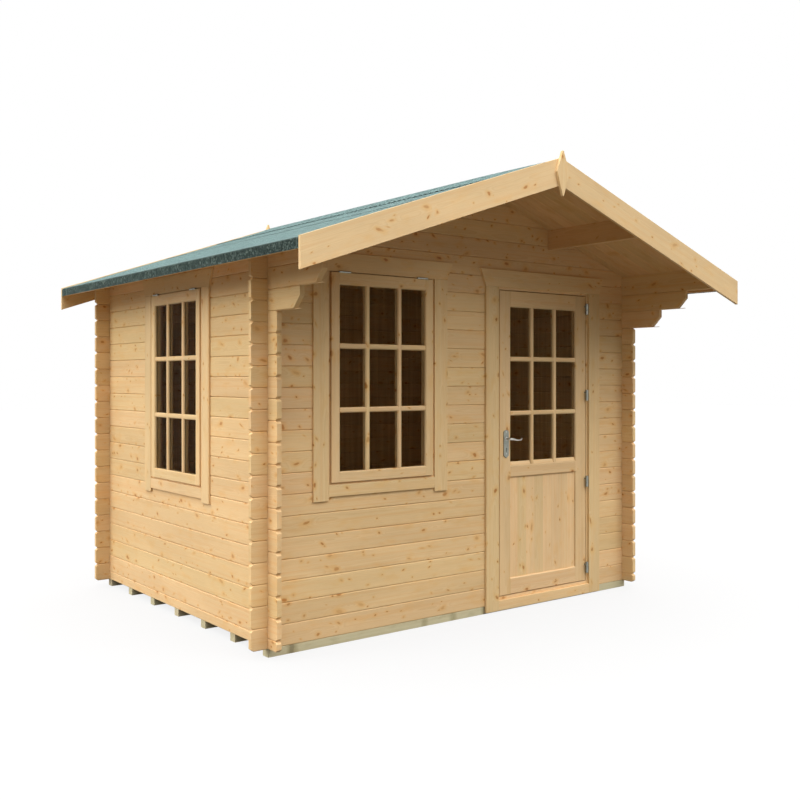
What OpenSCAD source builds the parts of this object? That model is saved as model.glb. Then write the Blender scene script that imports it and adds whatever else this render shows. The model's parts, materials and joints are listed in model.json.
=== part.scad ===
// Garden log cabin: interlocking logs, apex roof with a deep front canopy,
// half-glazed door and two nine-pane windows. Millimetres, +Z up, front wall faces -Y.

/* [Walls] */
// Outside width over the side walls
cabin_w = 2836; // [2600:2:3600]
// Outside depth over the front and back walls
cabin_d = 2294; // [2000:2:3000]
// Height of one log
log_h = 114; // [110:1:120]
// Thickness of one log
log_t = 28; // [20:1:36]
// Length of the log ends past the corner
log_end = 97; // [70:1:130]
// Number of full front logs below the gable
wall_logs = 18; // [18:1:20]
// Depth of the chamfer along every log edge
log_chamfer = 4; // [2:0.5:6]
// Depth of the chamfer at a log end, along the log
end_chamfer_x = 16; // [8:1:24]
// Height of the chamfer at a log end
end_chamfer_z = 13; // [8:1:20]
// Open seam between two logs of a wall
log_seam = 0.6; // [0.2:0.1:1.5]

/* [Corbels] */
// Reach of the lower corbel log in front of the wall
corbel_low = 325; // [200:5:400]
// Reach of the upper corbel log in front of the wall
corbel_high = 538; // [420:5:620]
// Chamfer under a corbel's front end
corbel_chamfer = 65; // [30:1:80]

/* [Floor] */
// Height of a bearer
bearer_h = 45; // [38:1:70]
// Width of a bearer
bearer_w = 58; // [45:1:80]
// Number of bearers
bearers = 7; // [5:1:9]
// Inset of the bearer ends from the side walls' outer faces
bearer_inset = 3; // [0:1:20]
// Thickness of the floor boards
floor_t = 19; // [16:1:28]
// Gap between the floor and the walls
floor_gap = 4; // [2:1:10]

/* [Roof] */
// Roof pitch in degrees
pitch = 19.2; // [17:0.2:23]
// Height of the bevelled top log, at the side walls' outer faces
top_log_h = 125; // [118:1:140]
// Reach of the eaves past the side walls' outer faces
eave_overhang = 250; // [200:1:320]
// Reach of the canopy in front of the front wall
front_overhang = 748; // [640:1:900]
// Reach of the roof behind the back wall
back_overhang = 247; // [180:1:400]
// Thickness of the roof boards
roof_t = 16; // [12:1:22]
// Thickness of the felt
felt_t = 3; // [2:0.5:5]
// Thickness of the bargeboards
barge_t = 18; // [14:1:24]
// Depth of the bargeboards, square to their edge
barge_h = 145; // [110:1:160]
// Height of the bargeboard edge above the felt
barge_rise = 5; // [2:1:15]
// Width of a purlin
purlin_w = 44; // [36:1:60]
// Height of a purlin
purlin_h = 112; // [90:1:120]
// Distance of a side purlin's middle from the ridge line
purlin_x = 677; // [560:1:720]
// Gap beside a purlin where it passes through a gable
purlin_gap = 1; // [0.5:0.5:3]
// Width of the eave battens
batten_w = 28; // [18:1:40]
// Drop of the eave battens below the roof boards
batten_h = 30; // [20:1:50]
// Drop of the felt's edge below the eave battens
felt_drip = 4; // [1:1:10]

/* [Finials] */
// Width of a finial
finial_w = 96; // [70:1:120]
// Top of a finial above the bargeboard's ridge point
finial_up = 36; // [20:1:60]
// Height of a finial
finial_h = 252; // [200:1:300]
// Drop from a finial's top to its widest place
finial_wide = 120; // [80:1:140]
// Thickness of a finial
finial_t = 16; // [12:1:22]
// Width of a finial's blunt ends
finial_end = 8; // [6:1:24]

/* [Window] */
// Width of a window sash
sash_w = 709; // [600:1:760]
// Height of a window sash
sash_h = 1155; // [950:1:1180]
// Thickness of a window sash
sash_t = 40; // [34:1:46]
// Width of the sash stiles
sash_stile = 56; // [45:1:75]
// Height of the sash top rail
sash_top = 66; // [45:1:80]
// Height of the sash bottom rail
sash_bottom = 58; // [45:1:80]
// Width of the glazing bars
bar_w = 30; // [20:1:36]
// Distance of a window's upright bars from its middle
sash_bar_x = 112; // [95:1:118]
// Height of the front window sash above the wall foot
window_z = 845; // [843:1:860]
// Distance of the front window's middle from the left wall's outer face
window_left = 741; // [700:1:800]
// Distance of the side window's middle behind the front wall
side_window_y = 1140; // [1050:1:1300]
// Width of the gap beside a sash
reveal_side = 16; // [10:1:20]
// Width of the gap above a sash
reveal_top = 6; // [5:1:12]
// Width of the gap below a sash
reveal_bottom = 12; // [8:1:20]
// Distance from the wall face to the sash face
sash_proud = 15; // [10:1:20]

/* [Casings] */
// Thickness of a window's casing boards
casing_t = 12; // [10:1:20]
// Width of a window's upright casing boards
casing_w = 98; // [70:1:110]
// Height of a window's header board
window_header_h = 104; // [80:1:110]
// Height of a window's bottom board
window_foot_h = 64; // [50:1:90]
// Drop of the upright boards below the bottom board
casing_drop = 22; // [0:1:40]
// Sideways reach of a header end for each millimetre of its height
header_splay = 0.42; // [0:0.02:0.6]
// Hairline joint between two casing boards
casing_joint = 0.6; // [0.2:0.1:1.5]

/* [Door] */
// Width of the door leaf
leaf_w = 788; // [700:1:820]
// Height of the door leaf
leaf_h = 1920; // [1800:1:1940]
// Thickness of the door leaf
leaf_t = 36; // [32:1:44]
// Height of the door leaf above the wall foot
leaf_z = 50; // [46:1:60]
// Distance of the door's middle from the right wall's outer face
door_right = 799; // [760:1:860]
// Gap round the door leaf
leaf_gap = 5; // [5:0.5:8]
// Distance from the casing face back to the leaf face
leaf_recess = 16; // [14:1:18]
// Width of the door stiles
stile_w = 97; // [80:1:110]
// Height of the door's top rail
top_rail_h = 100; // [80:1:120]
// Height of the door's bottom rail
bottom_rail_h = 102; // [80:1:160]
// Height of the lower panel's opening
panel_h = 636; // [500:1:700]
// Height of the door's middle rail
mid_rail_h = 77; // [60:1:120]
// Height of the weather bead under the door's glass
bead_h = 24; // [10:1:30]
// Thickness of the door's casing boards
door_casing_t = 16; // [14:1:20]
// Width of the door's upright casing boards
door_casing_w = 104; // [80:1:110]
// Height of the door's header board
door_header_h = 107; // [90:1:115]
// Height of the board under the door
door_foot_h = 61; // [50:1:66]
// Width of the frame left bare beside the door leaf
bare_side = 16; // [12:1:24]
// Height of the frame left bare above the door leaf
bare_top = 16; // [10:1:24]
// Height of the frame left bare below the door leaf
bare_foot = 21; // [12:1:30]

/* [Frames and glass] */
// Width of the window frame members
window_frame_w = 42; // [34:1:44]
// Width of the door frame members
door_frame_w = 56; // [45:1:64]
// Depth of the window and door frames, from the wall face
frame_d = 54; // [50:1:70]
// Step of the stop behind a sash or leaf
stop_w = 12; // [8:1:16]
// Gap between a frame and the logs round it
frame_gap = 5; // [3:1:10]
// Gap between a sash and its frame
sash_gap = 3; // [2:0.5:5]
// Thickness of the glass
glass_t = 4; // [3:0.5:6]
// Distance from a sash or leaf face back to its glass
glass_depth = 15; // [12:1:18]
// Distance from the leaf face back to its panel
panel_depth = 11; // [8:1:14]
// Setback of the glazing bars from the sash faces
bar_setback = 2; // [1:0.5:4]
// Chamfer along the bars and round the panes
bar_chamfer = 6; // [3:0.5:8]
// Depth of the groove that holds a pane or panel
groove = 8; // [6:1:12]
// Thickness of the door panel
panel_t = 12; // [9:1:16]
// Loose fit of glass and panel in their grooves
glass_gap = 0.5; // [0.2:0.1:1]

/* [Ironmongery] */
// Radius of a window hinge barrel
sash_barrel_r = 5; // [4:0.5:6]
// Length of a window hinge
sash_hinge_l = 75; // [60:1:90]
// Distance of a window hinge's middle from the sash's middle
sash_hinge_x = 272; // [200:1:290]
// Thickness of a window hinge's flap
sash_flap_t = 2; // [1.5:0.5:3]
// Depth of a window hinge's flap on the sash's top edge
sash_flap_d = 30; // [20:1:36]
// Radius of a door hinge barrel
barrel_r = 10; // [8:0.5:10]
// Length of a door hinge
hinge_l = 72; // [60:1:90]
// Radius of the pin inside a door hinge
pin_r = 3; // [2.5:0.5:4]
// Radial clearance of the hinge pin and the lever's neck
pin_gap = 0.08; // [0.02:0.01:0.1]
// Radius of the screw shanks of a door hinge
shank_r = 3.2; // [2.5:0.1:3.2]
// Length of the screw shanks, from the barrel's middle
shank_l = 45; // [38:1:50]
// Distance of the hinge barrel's middle in front of the leaf face
barrel_out = 15; // [15:0.5:18]
// Height of the lowest hinge's middle above the leaf's foot
hinge_low = 88; // [80:1:160]
// Drop of the highest hinge's middle below the leaf's top
hinge_high = 85; // [80:1:160]
// Number of hinges on the door
hinges = 4; // [2:1:5]
// Gap between the two halves of a door hinge
knuckle_gap = 0.6; // [0.3:0.1:1.5]
// Width of a lock plate
plate_w = 42; // [34:1:46]
// Height of a lock plate
plate_h = 177; // [150:1:220]
// Thickness of a lock plate
plate_t = 7; // [4:0.5:9]
// Rise of a lock plate's arched head
plate_arch = 13; // [8:1:16]
// Drop of a lock plate's pointed foot
plate_point = 15; // [8:1:20]
// Height of the lever's spindle above the wall foot
lever_z = 1035; // [980:1:1080]
// Distance of the spindle from the leaf's free edge
backset = 53; // [45:1:65]
// Length of the lever from its spindle
lever_l = 110; // [90:1:125]
// Radius of the lever
lever_r = 6; // [5:0.5:8]
// Rise of the lever's rounded bends and tip above its rod
lever_swell = 0.3; // [0.2:0.1:0.6]
// Dip of the lever below its spindle
lever_dip = 9; // [4:1:14]
// Distance of the lever in front of the leaf
lever_out = 44; // [36:1:55]
// Radius of the lever's neck
neck_r = 8; // [6:0.5:9]
// Radius of the hole for the neck in the leaf
neck_hole_r = 10; // [10:0.5:12]
// Drop of the spindle below a lock plate's top
spindle_drop = 56; // [40:1:70]
// Drop of the keyhole below the spindle
keyhole_drop = 63; // [55:1:80]
// Radius of the keyhole's round end
keyhole_r = 4; // [3:0.5:5]
// Width of the keyhole's slot
keyhole_w = 4; // [2:0.5:5]
// Length of the keyhole, from its round end's middle
keyhole_l = 19; // [10:1:24]

/* [Hidden] */
$fn = 48;

// Places worked out from the sizes above.
half_w = cabin_w / 2;
front_y = (front_overhang - cabin_d - back_overhang) / 2;
back_y = front_y + cabin_d;
slope = tan(pitch);
wall_h = wall_logs * log_h;
leaf_top = leaf_z + leaf_h;
// Logs of the front wall that the doorway cuts, and the doorway's height in the logs.
door_logs = ceil((leaf_top + leaf_gap + door_frame_w + frame_gap) / log_h);
doorway_h = door_logs * log_h;
ridge_h = wall_h - log_h / 2 + top_log_h + half_w * slope;
roof_half = half_w + eave_overhang;
roof_front = front_y - front_overhang + barge_t;
roof_back = back_y + back_overhang - barge_t;
roof_rise = roof_t / cos(pitch);
felt_rise = felt_t / cos(pitch);
barge_fall = barge_h / cos(pitch);
board_half = roof_half - felt_t;
window_x = window_left - half_w;
door_x = half_w - door_right;
side_window_z = window_z - log_h / 2;
leaf_face = leaf_recess - door_casing_t;
leaf_back = leaf_face + leaf_t;
sash_back = sash_t - sash_proud;
reach = cabin_w + cabin_d;
eps = 1;

// Height of the roof's underside above the ground at distance x from the ridge line.
function under(x) = bearer_h + ridge_h - abs(x) * slope;
felt_foot = under(board_half) - batten_h - felt_drip;

// Middle heights of the door hinges above the wall foot.
hinge_zs = [for (i = [0 : hinges - 1])
    leaf_z + hinge_low + i * (leaf_h - hinge_low - hinge_high) / (hinges - 1)];

// ---------- shared shapes ----------

// Solid under an outline drawn in X and Z, running back from y0 to y1.
module slab_y(points, y0, y1)
    translate([0, y1, 0]) rotate([90, 0, 0]) linear_extrude(y1 - y0) polygon(points);

// Solid under an outline drawn in Y and Z, running right from x0 to x1.
module slab_x(points, x0, x1)
    translate([x0, 0, 0]) rotate([90, 0, 90]) linear_extrude(x1 - x0) polygon(points);

// Block between two corners.
module block(low, high) translate(low) cube(high - low);

// Everything below the roof boards.
module under_roof()
    slab_y([[-reach, 0], [reach, 0], [reach, under(reach)], [0, under(0)],
            [-reach, under(reach)]], -reach, reach);

// ---------- logs ----------

// Corner of a log's outline: square, or cut back by dx along the log and dz in height.
function corner(x, z, dx, dz, upright_first) =
    dx == 0 ? [[x, z]] : upright_first ? [[x, z + dz], [x + dx, z]] : [[x + dx, z], [x, z + dz]];

// Log lying along X with its outer face at Y = 0. cut = [length, height, both edges?] at each end.
module log_x(x0, x1, z0, z1, front_cut, back_cut) {
    low = z0 + log_seam / 2;
    high = z1 - log_seam / 2;
    c = log_chamfer;
    intersection() {
        slab_x([[c, low], [log_t - c, low], [log_t, low + c], [log_t, high - c],
                [log_t - c, high], [c, high], [0, high - c], [0, low + c]], x0, x1);
        slab_y(concat(
            corner(x0, low, front_cut[0], front_cut[1], true),
            corner(x1, low, -back_cut[0], back_cut[1], false),
            corner(x1, high, -back_cut[0] * back_cut[2], -back_cut[1], true),
            corner(x0, high, front_cut[0] * front_cut[2], -front_cut[1], false)), -eps, log_t + eps);
    }
}

// Plain end, log end with both edges cut back, and corbel end cut back below.
square_end = [0, 0, 0];
log_cut = [end_chamfer_x, end_chamfer_z, 1];
corbel_cut = [corbel_chamfer, corbel_chamfer, 0];

// Half-height notch where a crossing wall passes, for a wall whose outer face is at Y = 0.
module crossing(x, z0, z1) block([x, -eps, z0], [x + log_t, log_t + eps, z1]);

// Notches of a log at both crossings of a wall of length wall_l that starts at X = start.
module crossings(start, wall_l, z0, z1, below, above)
    for (x = [start, start + wall_l - log_t]) {
        if (below) crossing(x, z0 - eps, z0 + log_h / 4);
        if (above) crossing(x, z0 + log_h * 3 / 4, z1 + eps);
    }

// Logs of a gable wall, numbered from 0 at its foot, before the roof cuts them.
module gable_logs(first, last)
    translate([0, 0, bearer_h])
        for (n = [first : last])
            difference() {
                log_x(-half_w - log_end, half_w + log_end, n * log_h, (n + 1) * log_h,
                      log_cut, log_cut);
                crossings(-half_w, cabin_w, n * log_h, (n + 1) * log_h, n <= wall_logs, n < wall_logs);
            }

// Number of logs that reach the ridge.
ridge_logs = ceil(ridge_h / log_h);

// How far a side wall's log n reaches in front of the front wall.
function side_reach(n) = n == wall_logs ? front_y - roof_front
    : n == wall_logs - 1 ? corbel_high
    : n == wall_logs - 2 ? corbel_low : log_end;

// Logs of the right wall: a half log at the foot, corbels near the top, a bevelled top log.
module side_logs()
    intersection() {
        under_roof();
        translate([half_w, front_y, bearer_h]) rotate([0, 0, 90]) {
            difference() {
                log_x(-log_end, cabin_d + log_end, 0, log_h / 2, log_cut, log_cut);
                for (x = [0, cabin_d - log_t]) crossing(x, log_h / 4, log_h);
            }
            for (n = [1 : wall_logs]) {
                z0 = (n - 0.5) * log_h;
                top = n == wall_logs;
                z1 = top ? under(half_w - log_t) - bearer_h + log_chamfer + log_seam : z0 + log_h;
                difference() {
                    log_x(-side_reach(n), top ? roof_back - front_y : cabin_d + log_end, z0, z1,
                          top ? square_end : n >= wall_logs - 2 ? corbel_cut : log_cut,
                          top ? square_end : log_cut);
                    crossings(0, cabin_d, z0, z1, true, true);
                }
            }
        }
    }

// ---------- openings in the log walls ----------

// Width of the hole in the logs for a window, and for the door.
window_hole_w = sash_w + 2 * (sash_gap + window_frame_w + frame_gap);
door_hole_w = leaf_w + 2 * (leaf_gap + door_frame_w + frame_gap);

// Foot and top of a window's hole: the frame's edge, or the log joint if one is close beyond it,
// so that no thin strip of log is left. shift is the height of the wall's first joint.
function joint_below(z, shift) =
    let (joint = shift + log_h * floor((z - shift) / log_h)) z - joint < log_h / 4 ? joint : z;
function joint_above(z, shift) =
    let (joint = shift + log_h * ceil((z - shift) / log_h)) joint - z < log_h / 4 ? joint : z;

module window_hole(z, shift)
    block([-window_hole_w / 2, -log_t,
           bearer_h + joint_below(z - sash_gap - window_frame_w, shift)],
          [window_hole_w / 2, 2 * log_t,
           bearer_h + joint_above(z + sash_h + sash_gap + window_frame_w, shift)]);

// Places for what is built facing the front, at a wall's outer face.
module at_front(x) translate([x, front_y, 0]) children();
module at_side_window() translate([-half_w, front_y + side_window_y, 0]) rotate([0, 0, -90]) children();

// ---------- walls ----------

// Front logs from first to last, cut by the roof, the purlins and the window, from x0 to x1.
module front_logs(first, last, x0, x1)
    difference() {
        intersection() {
            at_front(0) gable_logs(first, last);
            block([x0, -reach, 0], [x1, reach, reach]);
            under_roof();
        }
        at_front(window_x) window_hole(window_z, 0);
        purlin_notches();
    }

module front_wall_left() color("burlywood")
    front_logs(0, door_logs - 1, -reach, door_x - door_hole_w / 2);

module front_wall_right() color("burlywood")
    front_logs(0, door_logs - 1, door_x + door_hole_w / 2, reach);

// Notches in the gables where the purlins pass.
module purlin_notches()
    for (x = [-purlin_x, 0, purlin_x])
        block([x - purlin_w / 2 - purlin_gap, -reach, purlin_top(x) - purlin_h],
              [x + purlin_w / 2 + purlin_gap, reach, reach]);

module front_gable() color("burlywood") front_logs(door_logs, ridge_logs, -reach, reach);

module back_logs(first, last)
    difference() {
        intersection() {
            translate([0, back_y, 0]) mirror([0, 1, 0]) gable_logs(first, last);
            under_roof();
        }
        purlin_notches();
    }

module back_wall() color("burlywood") back_logs(0, wall_logs - 1);
module back_gable() color("burlywood") back_logs(wall_logs, ridge_logs);

module right_wall() color("wheat") side_logs();

module left_wall() color("wheat")
    difference() {
        mirror([1, 0, 0]) side_logs();
        at_side_window() window_hole(side_window_z, log_h / 2);
    }

// ---------- floor ----------

module floor_bearers() color("darkkhaki")
    for (i = [0 : bearers - 1])
        translate([-half_w + bearer_inset, front_y + i * (cabin_d - bearer_w) / (bearers - 1), 0])
            cube([cabin_w - 2 * bearer_inset, bearer_w, bearer_h]);

module floor() color("burlywood")
    difference() {
        block([-half_w + log_t + floor_gap, front_y + log_t + floor_gap, bearer_h],
              [half_w - log_t - floor_gap, back_y - log_t - floor_gap, bearer_h + floor_t]);
        at_front(door_x)
            block([-door_hole_w / 2 + frame_gap - floor_gap, 0, 0],
                  [door_hole_w / 2 - frame_gap + floor_gap, frame_d + floor_gap, 2 * bearer_h]);
    }

// ---------- roof ----------

// Height of a purlin's outer top edge, and so of all but its bevel, when its middle is at x.
function purlin_top(x) = under(abs(x) + purlin_w / 2);

module purlin(x) color("burlywood")
    intersection() {
        block([x - purlin_w / 2, roof_front, purlin_top(x) - purlin_h],
              [x + purlin_w / 2, roof_back, reach]);
        under_roof();
    }

module ridge_purlin() purlin(0);
module left_purlin() purlin(-purlin_x);
module right_purlin() purlin(purlin_x);

module right_roof_boards() color("tan")
    slab_y([[0, under(0)], [board_half, under(board_half)],
            [board_half, under(board_half) + roof_rise], [0, under(0) + roof_rise]],
           roof_front, roof_back);

// Felt over the boards, folded down over the eave and past the foot of the batten.
module right_roof_felt() color("cadetblue")
    slab_y([[0, under(0) + roof_rise], [board_half, under(board_half) + roof_rise],
            [board_half, felt_foot], [roof_half, felt_foot],
            [roof_half, under(roof_half) + roof_rise + felt_rise],
            [0, under(0) + roof_rise + felt_rise]],
           roof_front, roof_back);

module right_eave_batten() color("tan")
    slab_y([[board_half - batten_w, under(board_half) - batten_h],
            [board_half, under(board_half) - batten_h],
            [board_half, under(board_half)], [board_half - batten_w, under(board_half - batten_w)]],
           roof_front, roof_back);

module left_roof_boards() mirror([1, 0, 0]) right_roof_boards();
module left_roof_felt() mirror([1, 0, 0]) right_roof_felt();
module left_eave_batten() mirror([1, 0, 0]) right_eave_batten();

// Upper edge of the bargeboards at distance x from the ridge line.
function barge_top(x) = under(x) + roof_rise + felt_rise + barge_rise;

module bargeboard(y) color("wheat")
    slab_y([[0, barge_top(0) - barge_fall], [roof_half, barge_top(roof_half) - barge_fall],
            [roof_half, barge_top(roof_half)], [0, barge_top(0)]], y, y + barge_t);

module front_right_bargeboard() bargeboard(roof_front - barge_t);
module front_left_bargeboard() mirror([1, 0, 0]) bargeboard(roof_front - barge_t);
module back_right_bargeboard() bargeboard(roof_back);
module back_left_bargeboard() mirror([1, 0, 0]) bargeboard(roof_back);

module finial(y) color("wheat") {
    top = barge_top(0) + finial_up;
    slab_y([[finial_end / 2, top], [-finial_end / 2, top], [-finial_w / 2, top - finial_wide],
            [-finial_end / 2, top - finial_h], [finial_end / 2, top - finial_h],
            [finial_w / 2, top - finial_wide]], y, y + finial_t);
}

module front_finial() finial(roof_front - barge_t - finial_t);
module back_finial() finial(roof_back + barge_t);

// ---------- frames, casings and glazed leaves, facing -Y with the wall face at Y = 0 ----------

// Four frame members round an opening of width w from z0 to z1, with a stop from stop_y back.
module frame_ring(w, z0, z1, side, foot, head, stop_y) {
    inner = w / 2;
    for (m = [0, 1]) mirror([m, 0, 0]) {
        block([inner, 0, z0 - foot], [inner + side, frame_d, z1 + head]);
        block([inner - stop_w, stop_y, z0], [inner, frame_d, z1]);
    }
    rail = inner - casing_joint;
    stop = inner - stop_w - casing_joint;
    block([-rail, 0, z1 + casing_joint], [rail, frame_d, z1 + head]);
    block([-stop, stop_y, z1 - stop_w], [stop, frame_d, z1 + casing_joint]);
    block([-rail, 0, z0 - foot], [rail, frame_d, z0 - casing_joint]);
    block([-stop, stop_y, z0 - casing_joint], [stop, frame_d, z0 + stop_w]);
}

// Casing boards of thickness t round an opening of width w: two uprights, a header with slanted
// ends, and a foot board.
module casing_boards(w, t, foot_top, header_low, board_w, header_h, foot_h, drop) {
    inner = w / 2;
    outer = inner + board_w;
    splay = header_h * header_splay;
    for (m = [0, 1]) mirror([m, 0, 0])
        block([inner, -t, foot_top - foot_h - drop],
              [outer, 0, header_low - casing_joint]);
    slab_y([[-outer, header_low], [outer, header_low],
            [outer + splay, header_low + header_h], [-outer - splay, header_low + header_h]],
           -t, 0);
    block([-inner + casing_joint, -t, foot_top - foot_h],
          [inner - casing_joint, 0, foot_top]);
}

// Opening for a pane or panel, with a chamfer round its front edge at Y = face.
module pane_cut(w, z0, z1, face, back) {
    c = bar_chamfer;
    block([-w / 2, face - eps, z0], [w / 2, back + eps, z1]);
    intersection() {
        linear_extrude(reach)
            polygon([[-w / 2 - c - eps, face - eps], [w / 2 + c + eps, face - eps],
                     [w / 2, face + c], [-w / 2, face + c]]);
        slab_x([[face - eps, z0 - c - eps], [face + c, z0], [face + c, z1],
                [face - eps, z1 + c + eps]], -reach, reach);
    }
}

// Outline of a glazing bar: base against the glass at Y = base, face towards Y = tip.
function bar_outline(base, tip) =
    let (c = bar_chamfer * sign(tip - base), w = bar_w / 2, k = bar_chamfer)
    [[-w, base], [w, base], [w, tip - c], [w - k, tip], [k - w, tip], [-w, tip - c]];

// Bars of a nine-pane light on one side of the glass.
module bar_grid(w, z0, z1, bar_x, base, tip) {
    row = (z1 - z0 - 2 * bar_w) / 3;
    for (x = [-bar_x, bar_x])
        translate([x, 0, z0 - eps]) linear_extrude(z1 - z0 + 2 * eps) polygon(bar_outline(base, tip));
    for (z = [z0 + row + bar_w / 2, z1 - row - bar_w / 2])
        translate([-w / 2 - eps, 0, z]) rotate([90, 0, 90]) linear_extrude(w + 2 * eps)
            polygon([for (p = bar_outline(base, tip)) [p[1], p[0]]]);
}

// Bars in front of and behind the glass of a light whose faces are at face and back.
module glazing_bars(w, z0, z1, bar_x, face, back) {
    bar_grid(w, z0, z1, bar_x, face + glass_depth - glass_gap, face + bar_setback);
    bar_grid(w, z0, z1, bar_x, face + glass_depth + glass_t + glass_gap, back - bar_setback);
}

// Pane or panel of thickness t that fills an opening and its groove, grown by extra.
module pane(w, z0, z1, y, t, extra)
    block([-w / 2 - groove - extra, y - extra, z0 - groove - extra],
          [w / 2 + groove + extra, y + t + extra, z1 + groove + extra]);

// ---------- windows ----------

light_w = sash_w - 2 * sash_stile;

module window_frame(z, shift) color("tan")
    frame_ring(sash_w + 2 * sash_gap, z - sash_gap, z + sash_h + sash_gap,
               window_frame_w, window_frame_w, window_frame_w, sash_back + sash_gap);

module window_casing(z) color("burlywood")
    casing_boards(sash_w + 2 * reveal_side, casing_t, z - reveal_bottom, z + sash_h + reveal_top,
                  casing_w, window_header_h, window_foot_h, casing_drop);

module window_sash(z) color("burlywood") {
    z0 = z + sash_bottom;
    z1 = z + sash_h - sash_top;
    difference() {
        block([-sash_w / 2, -sash_proud, z], [sash_w / 2, sash_back, z + sash_h]);
        pane_cut(light_w, z0, z1, -sash_proud, sash_back);
        pane(light_w, z0, z1, glass_depth - sash_proud, glass_t, glass_gap);
    }
    glazing_bars(light_w, z0, z1, sash_bar_x, -sash_proud, sash_back);
}

module window_glass(z) color("dimgray", 0.4)
    pane(light_w, z + sash_bottom, z + sash_h - sash_top, glass_depth - sash_proud, glass_t, 0);

module window_hinges(z) color("silver")
    for (x = [-sash_hinge_x, sash_hinge_x])
        translate([x - sash_hinge_l / 2, -sash_proud - sash_barrel_r, z + sash_h]) {
            translate([0, 0, reveal_top / 2]) rotate([0, 90, 0])
                cylinder(r = sash_barrel_r, h = sash_hinge_l);
            cube([sash_hinge_l, sash_barrel_r + sash_flap_d, sash_flap_t]);
        }

module at_front_window() at_front(window_x) translate([0, 0, bearer_h]) children();
module at_left_window() at_side_window() translate([0, 0, bearer_h]) children();

module front_window_frame() at_front_window() window_frame(window_z);
module front_window_casing() at_front_window() window_casing(window_z);
module front_window_sash() at_front_window() window_sash(window_z);
module front_window_glass() at_front_window() window_glass(window_z);
module front_window_hinges() at_front_window() window_hinges(window_z);
module side_window_frame() at_left_window() window_frame(side_window_z);
module side_window_casing() at_left_window() window_casing(side_window_z);
module side_window_sash() at_left_window() window_sash(side_window_z);
module side_window_glass() at_left_window() window_glass(side_window_z);
module side_window_hinges() at_left_window() window_hinges(side_window_z);

// ---------- door ----------

module at_door() at_front(door_x) translate([0, 0, bearer_h]) children();

door_light_w = leaf_w - 2 * stile_w;
panel_z0 = leaf_z + bottom_rail_h;
panel_z1 = panel_z0 + panel_h;
glass_z0 = panel_z1 + mid_rail_h;
glass_z1 = leaf_top - top_rail_h;
door_bar_x = (door_light_w + bar_w) / 6;
hinge_x = leaf_w / 2;
hinge_y = leaf_face - barrel_out;
spindle_x = backset - leaf_w / 2;

// Screw shank of a hinge, leaning sideways by angle from straight back.
module shank(z, angle, extra)
    translate([hinge_x, hinge_y, z]) rotate([0, 0, -angle]) rotate([-90, 0, 0])
        cylinder(r = shank_r + extra, h = shank_l + extra);

frame_shank_angle = 40;
leaf_shank_angle = -28;

module frame_shanks(extra)
    for (z = hinge_zs) shank(z - hinge_l / 4, frame_shank_angle, extra);

module leaf_shanks(extra)
    for (z = hinge_zs) shank(z + hinge_l / 4, leaf_shank_angle, extra);

module door_frame() color("tan")
    at_door() difference() {
        frame_ring(leaf_w + 2 * leaf_gap, leaf_z - leaf_gap, leaf_top + leaf_gap, door_frame_w,
                   leaf_z - leaf_gap, doorway_h - frame_gap - leaf_top - leaf_gap, leaf_back + leaf_gap);
        frame_shanks(pin_gap);
    }

module door_casing() color("burlywood")
    at_door() difference() {
        casing_boards(leaf_w + 2 * (leaf_gap + bare_side), door_casing_t,
                      leaf_z - leaf_gap - bare_foot, leaf_top + leaf_gap + bare_top,
                      door_casing_w, door_header_h, door_foot_h, 0);
        frame_shanks(pin_gap);
    }

module door_leaf() color("burlywood")
    at_door() {
        difference() {
            block([-leaf_w / 2, leaf_face, leaf_z], [leaf_w / 2, leaf_back, leaf_top]);
            pane_cut(door_light_w, glass_z0, glass_z1, leaf_face, leaf_back);
            pane_cut(door_light_w, panel_z0, panel_z1, leaf_face, leaf_back);
            pane(door_light_w, glass_z0, glass_z1, leaf_face + glass_depth, glass_t, glass_gap);
            pane(door_light_w, panel_z0, panel_z1, leaf_face + panel_depth, panel_t, glass_gap);
            leaf_shanks(pin_gap);
            translate([spindle_x, leaf_face - eps, lever_z]) rotate([-90, 0, 0])
                cylinder(r = neck_hole_r, h = leaf_t + 2 * eps);
        }
        glazing_bars(door_light_w, glass_z0, glass_z1, door_bar_x, leaf_face, leaf_back);
        weather_bead();
    }

// Bead with a sloping top that throws water off the foot of the glass.
module weather_bead() {
    glass_face = leaf_face + glass_depth - glass_gap;
    slab_x([[leaf_face + bar_chamfer, glass_z0 - eps], [glass_face, glass_z0 - eps],
            [glass_face, glass_z0 + bead_h], [leaf_face + bar_chamfer, glass_z0]],
           -door_light_w / 2 - eps, door_light_w / 2 + eps);
}

module door_panel() color("wheat")
    at_door() pane(door_light_w, panel_z0, panel_z1, leaf_face + panel_depth, panel_t, 0);

module door_glass() color("dimgray", 0.4)
    at_door() pane(door_light_w, glass_z0, glass_z1, leaf_face + glass_depth, glass_t, 0);

// One barrel half from z0 to z1.
module barrel(z0, z1) translate([hinge_x, hinge_y, z0]) cylinder(r = barrel_r, h = z1 - z0);

module door_frame_hinges() color("silver")
    at_door() for (z = hinge_zs) {
        barrel(z - hinge_l / 2, z - knuckle_gap / 2);
        translate([hinge_x, hinge_y, z - hinge_l / 4]) cylinder(r = pin_r, h = hinge_l * 3 / 5);
        shank(z - hinge_l / 4, frame_shank_angle, 0);
    }

module door_leaf_hinges() color("silver")
    at_door() for (z = hinge_zs)
        difference() {
            union() {
                barrel(z + knuckle_gap / 2, z + hinge_l / 2);
                shank(z + hinge_l / 4, leaf_shank_angle, 0);
            }
            translate([hinge_x, hinge_y, z]) cylinder(r = pin_r + pin_gap, h = hinge_l * 2 / 5);
        }

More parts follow.
